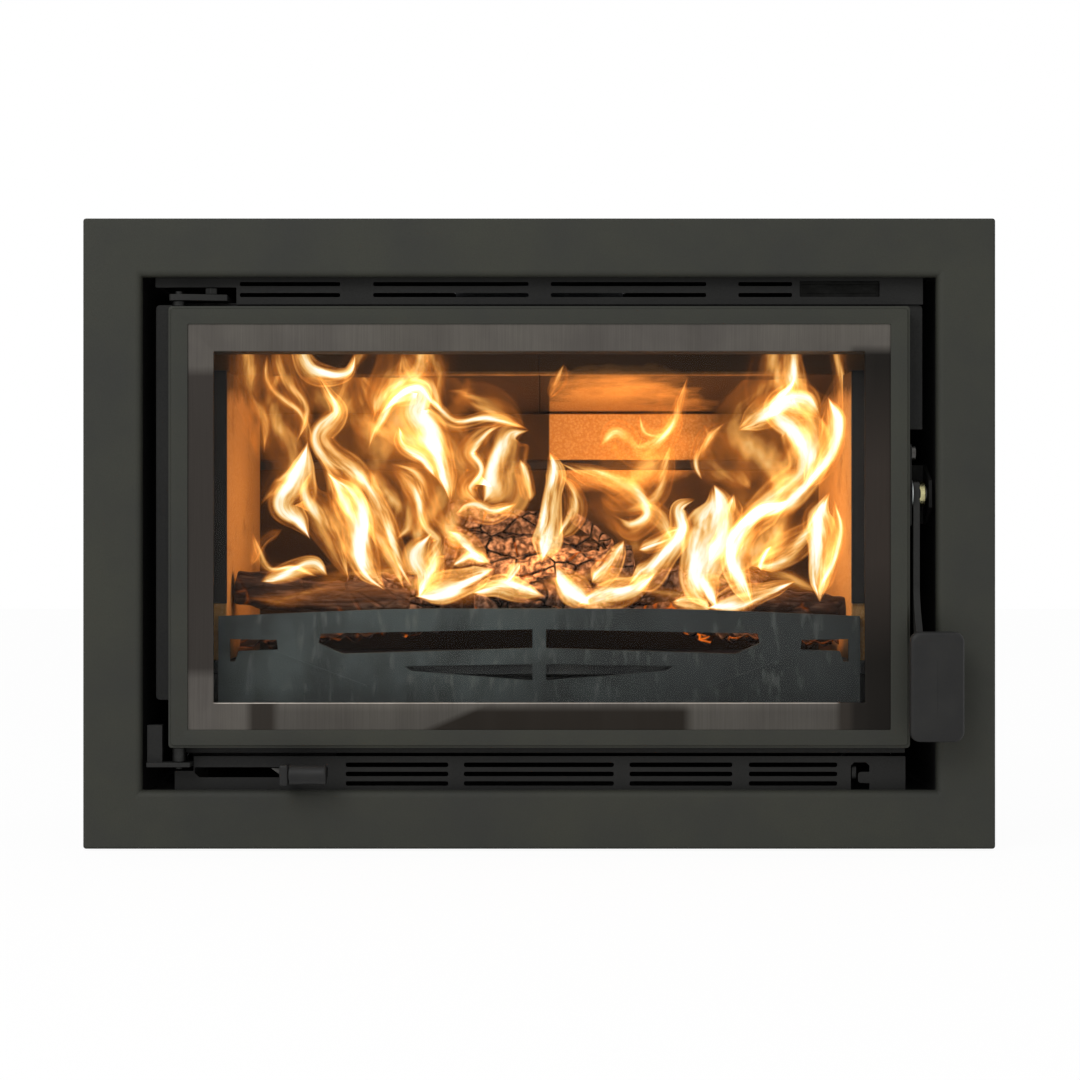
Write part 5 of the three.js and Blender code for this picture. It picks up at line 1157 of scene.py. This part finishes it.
def charcoal():
    """Burning wood: charred blocks 19 mm across with ash on them, black cracks, a few aglow.

    The two logs at the front, left and right, still have their bark, with fibres along X.
    """
    made, tree = new_material("charred_wood")
    x, y, z = coordinates(tree)
    where = place_on(tree, stretch=(1.3, 1, 1))
    blocks = add(tree, "TexVoronoi", where, Scale=1 / (19 * MM), feature="DISTANCE_TO_EDGE")
    cloud = grain(tree, 40)
    ash = grain(tree, 5, detail=4)
    fibre = grain(tree, 4, stretch=(12, 1, 1), detail=4)
    ashen = [(0.32, "#2a1f1a"), (0.48, "#5d473c"), (0.6, "#96796a"), (0.8, "#c4ab9c")]
    brown = [(0.3, "#1a1310"), (0.5, "#43322a"), (0.7, "#7a6152")]
    burnt = within(tree, (x, -112 * MM, 186 * MM, 14 * MM))
    bark = overlap(tree, (burnt, 0, 1, 1, 0), (y, -62 * MM, -54 * MM, 1, 0))
    crack = overlap(tree, (blocks, 0.02, 0.07, 1, 0), (bark, 0, 1, 1, 0.25))
    colour = layered(
        tree,
        "#211814",
        ((cloud, 0.3, 0.55), add(tree, "ValToRGB", ash, stops=ashen)),
        (bark, add(tree, "ValToRGB", fibre, stops=brown)),
        (crack, "#070504"),
    )
    low_down = (z, 188 * MM, 208 * MM, 0.9, 0)
    embers = overlap(tree, low_down, (cloud, 0.45, 0.6))
    here_and_there = (cloud, 0.58, 0.7)
    embers = add(tree, "Math", embers, here_and_there, operation="MAXIMUM")
    height = (blocks, 0, 0.1)
    return finish(
        made,
        Base_Color=colour,
        Roughness=0.95,
        Specular_IOR_Level=0.1,
        Emission_Color="#ff7a1e",
        Emission_Strength=overlap(tree, crack, embers),
        Normal=add(tree, "Bump", Height=height, Distance=1.6 * MM, Strength=1),
    )


# Logs: two ends [x, y, z] and radius, in millimetres from the frame's origin.
LOGS = [
    ((-277, -84, 231), (-118, -72, 212), 16),
    ((-62, -46, 238), (88, -54, 250), 17),
    ((-88, 4, 288), (6, 14, 280), 20),
    ((-90, -10, 262), (70, 0, 258), 18),
    ((44, -94, 208), (132, -82, 238), 13),
    ((192, -88, 218), (280, -74, 209), 13),
    ((-38, -84, 226), (30, -74, 222), 16),
    ((-180, 20, 214), (-40, 60, 224), 26),
    ((60, 40, 222), (220, 60, 214), 26),
    ((28, -20, 298), (64, -44, 270), 5),
    ((-60, -70, 214), (60, -64, 214), 20),
]


def make_fuel():
    """Logs on an ember bed, which is heaped towards the middle of the grate.

    Each log is a tube between its ends, its radius disturbed by seeded noise. The bed is a sheet
    whose height is a bell over the width with two sizes of the same noise on it.
    """
    turn = circle(64)
    along = np.linspace(0, 1, 90)
    surfaces = []
    for number, (start, end, radius) in enumerate(LOGS):
        start, end = np.array(start) * MM, np.array(end) * MM
        way = (end - start) / np.linalg.norm(end - start)
        side = np.cross(way, (0, 0, 1))
        side /= np.linalg.norm(side)
        up = np.cross(side, way)
        ring = np.cos(turn)[:, None] * side + np.sin(turn)[:, None] * up
        middle = start + along[:, None] * (end - start)
        rough = middle[:, None] + radius * MM * ring[None]
        lumps, cracks = ripple(rough, 60 * MM, number), ripple(rough, 11 * MM, number + 20)
        bark = 1 + 0.16 * lumps + 0.07 * cracks
        bark[[0, -1]] = 0  # closes the ends
        bark[[1, -2]] *= 0.92
        points = middle[:, None] + (radius * MM * bark)[..., None] * ring[None]
        surfaces.append((points, False, True))
    width, depth = np.linspace(-270, 270, 180) * MM, np.linspace(-112, 128, 90) * MM
    x, y = np.meshgrid(width, depth, indexing="ij")
    flat = np.stack([x, y, 0 * x], -1)
    grate_top, bell, heaped, least = 168 * MM, 170 * MM, 24, 12
    heap = heaped * np.exp(-((x / bell) ** 2)) + least
    z = grate_top + (heap + 6 * ripple(flat, 45 * MM, 3) + 4 * ripple(flat, 14 * MM, 4)) * MM
    surfaces.append((np.stack([x, y, z], -1), False, False))
    fuel = surface_object("fuel", surfaces, 60)
    fuel.data.materials.append(charcoal())


# ---------- the part ----------
make_surround()
make_leaf()
make_trim()
make_rope("door_rope_seal_knit", "door_rope_seal", 4.5 * MM, 4.25 * MM, 5 * MM)
make_rope("glass_rope_seal_knit", "glass_rope_seal", 5.5 * MM, 2 * MM, 4 * MM)
make_handle_pad()
make_knob()
make_collar()
for row in ("front", "rear"):
    for hand in ("left", "right"):
        make_foot(f"foot_{row}_{hand}")
make_casing_screws()
make_casing_flange()
made_otherwise = {"handle_pad", "air_knob", "flue_collar"}
for name, node in sorted(NODES.items()):
    slot = SLOT[name]
    if slot in EDGE_OF_SLOT and name not in made_otherwise and not name.startswith("foot_"):
        make_eased(name, EDGE_OF_SLOT[slot])
    wear(node, name, slot)

make_floor()
make_world()
make_camera()
make_fuel()
make_flames()
make_key_lamp((-1.3, -2.6, 2.1), (0, 0, 0.25), 1.6, 34)
make_glow("fire_left", (-0.15, -0.05, 0.30), 0.42, 0.04)
make_glow("fire_front", (0.0, -0.105, 0.28), 0.9, 0.03)
make_glow("fire_middle", (0.09, 0.02, 0.34), 0.62, 0.04)
make_glow("fire_right", (0.17, -0.05, 0.30), 0.55, 0.04)

scene = bpy.context.scene
scene.view_settings.view_transform = "Standard"
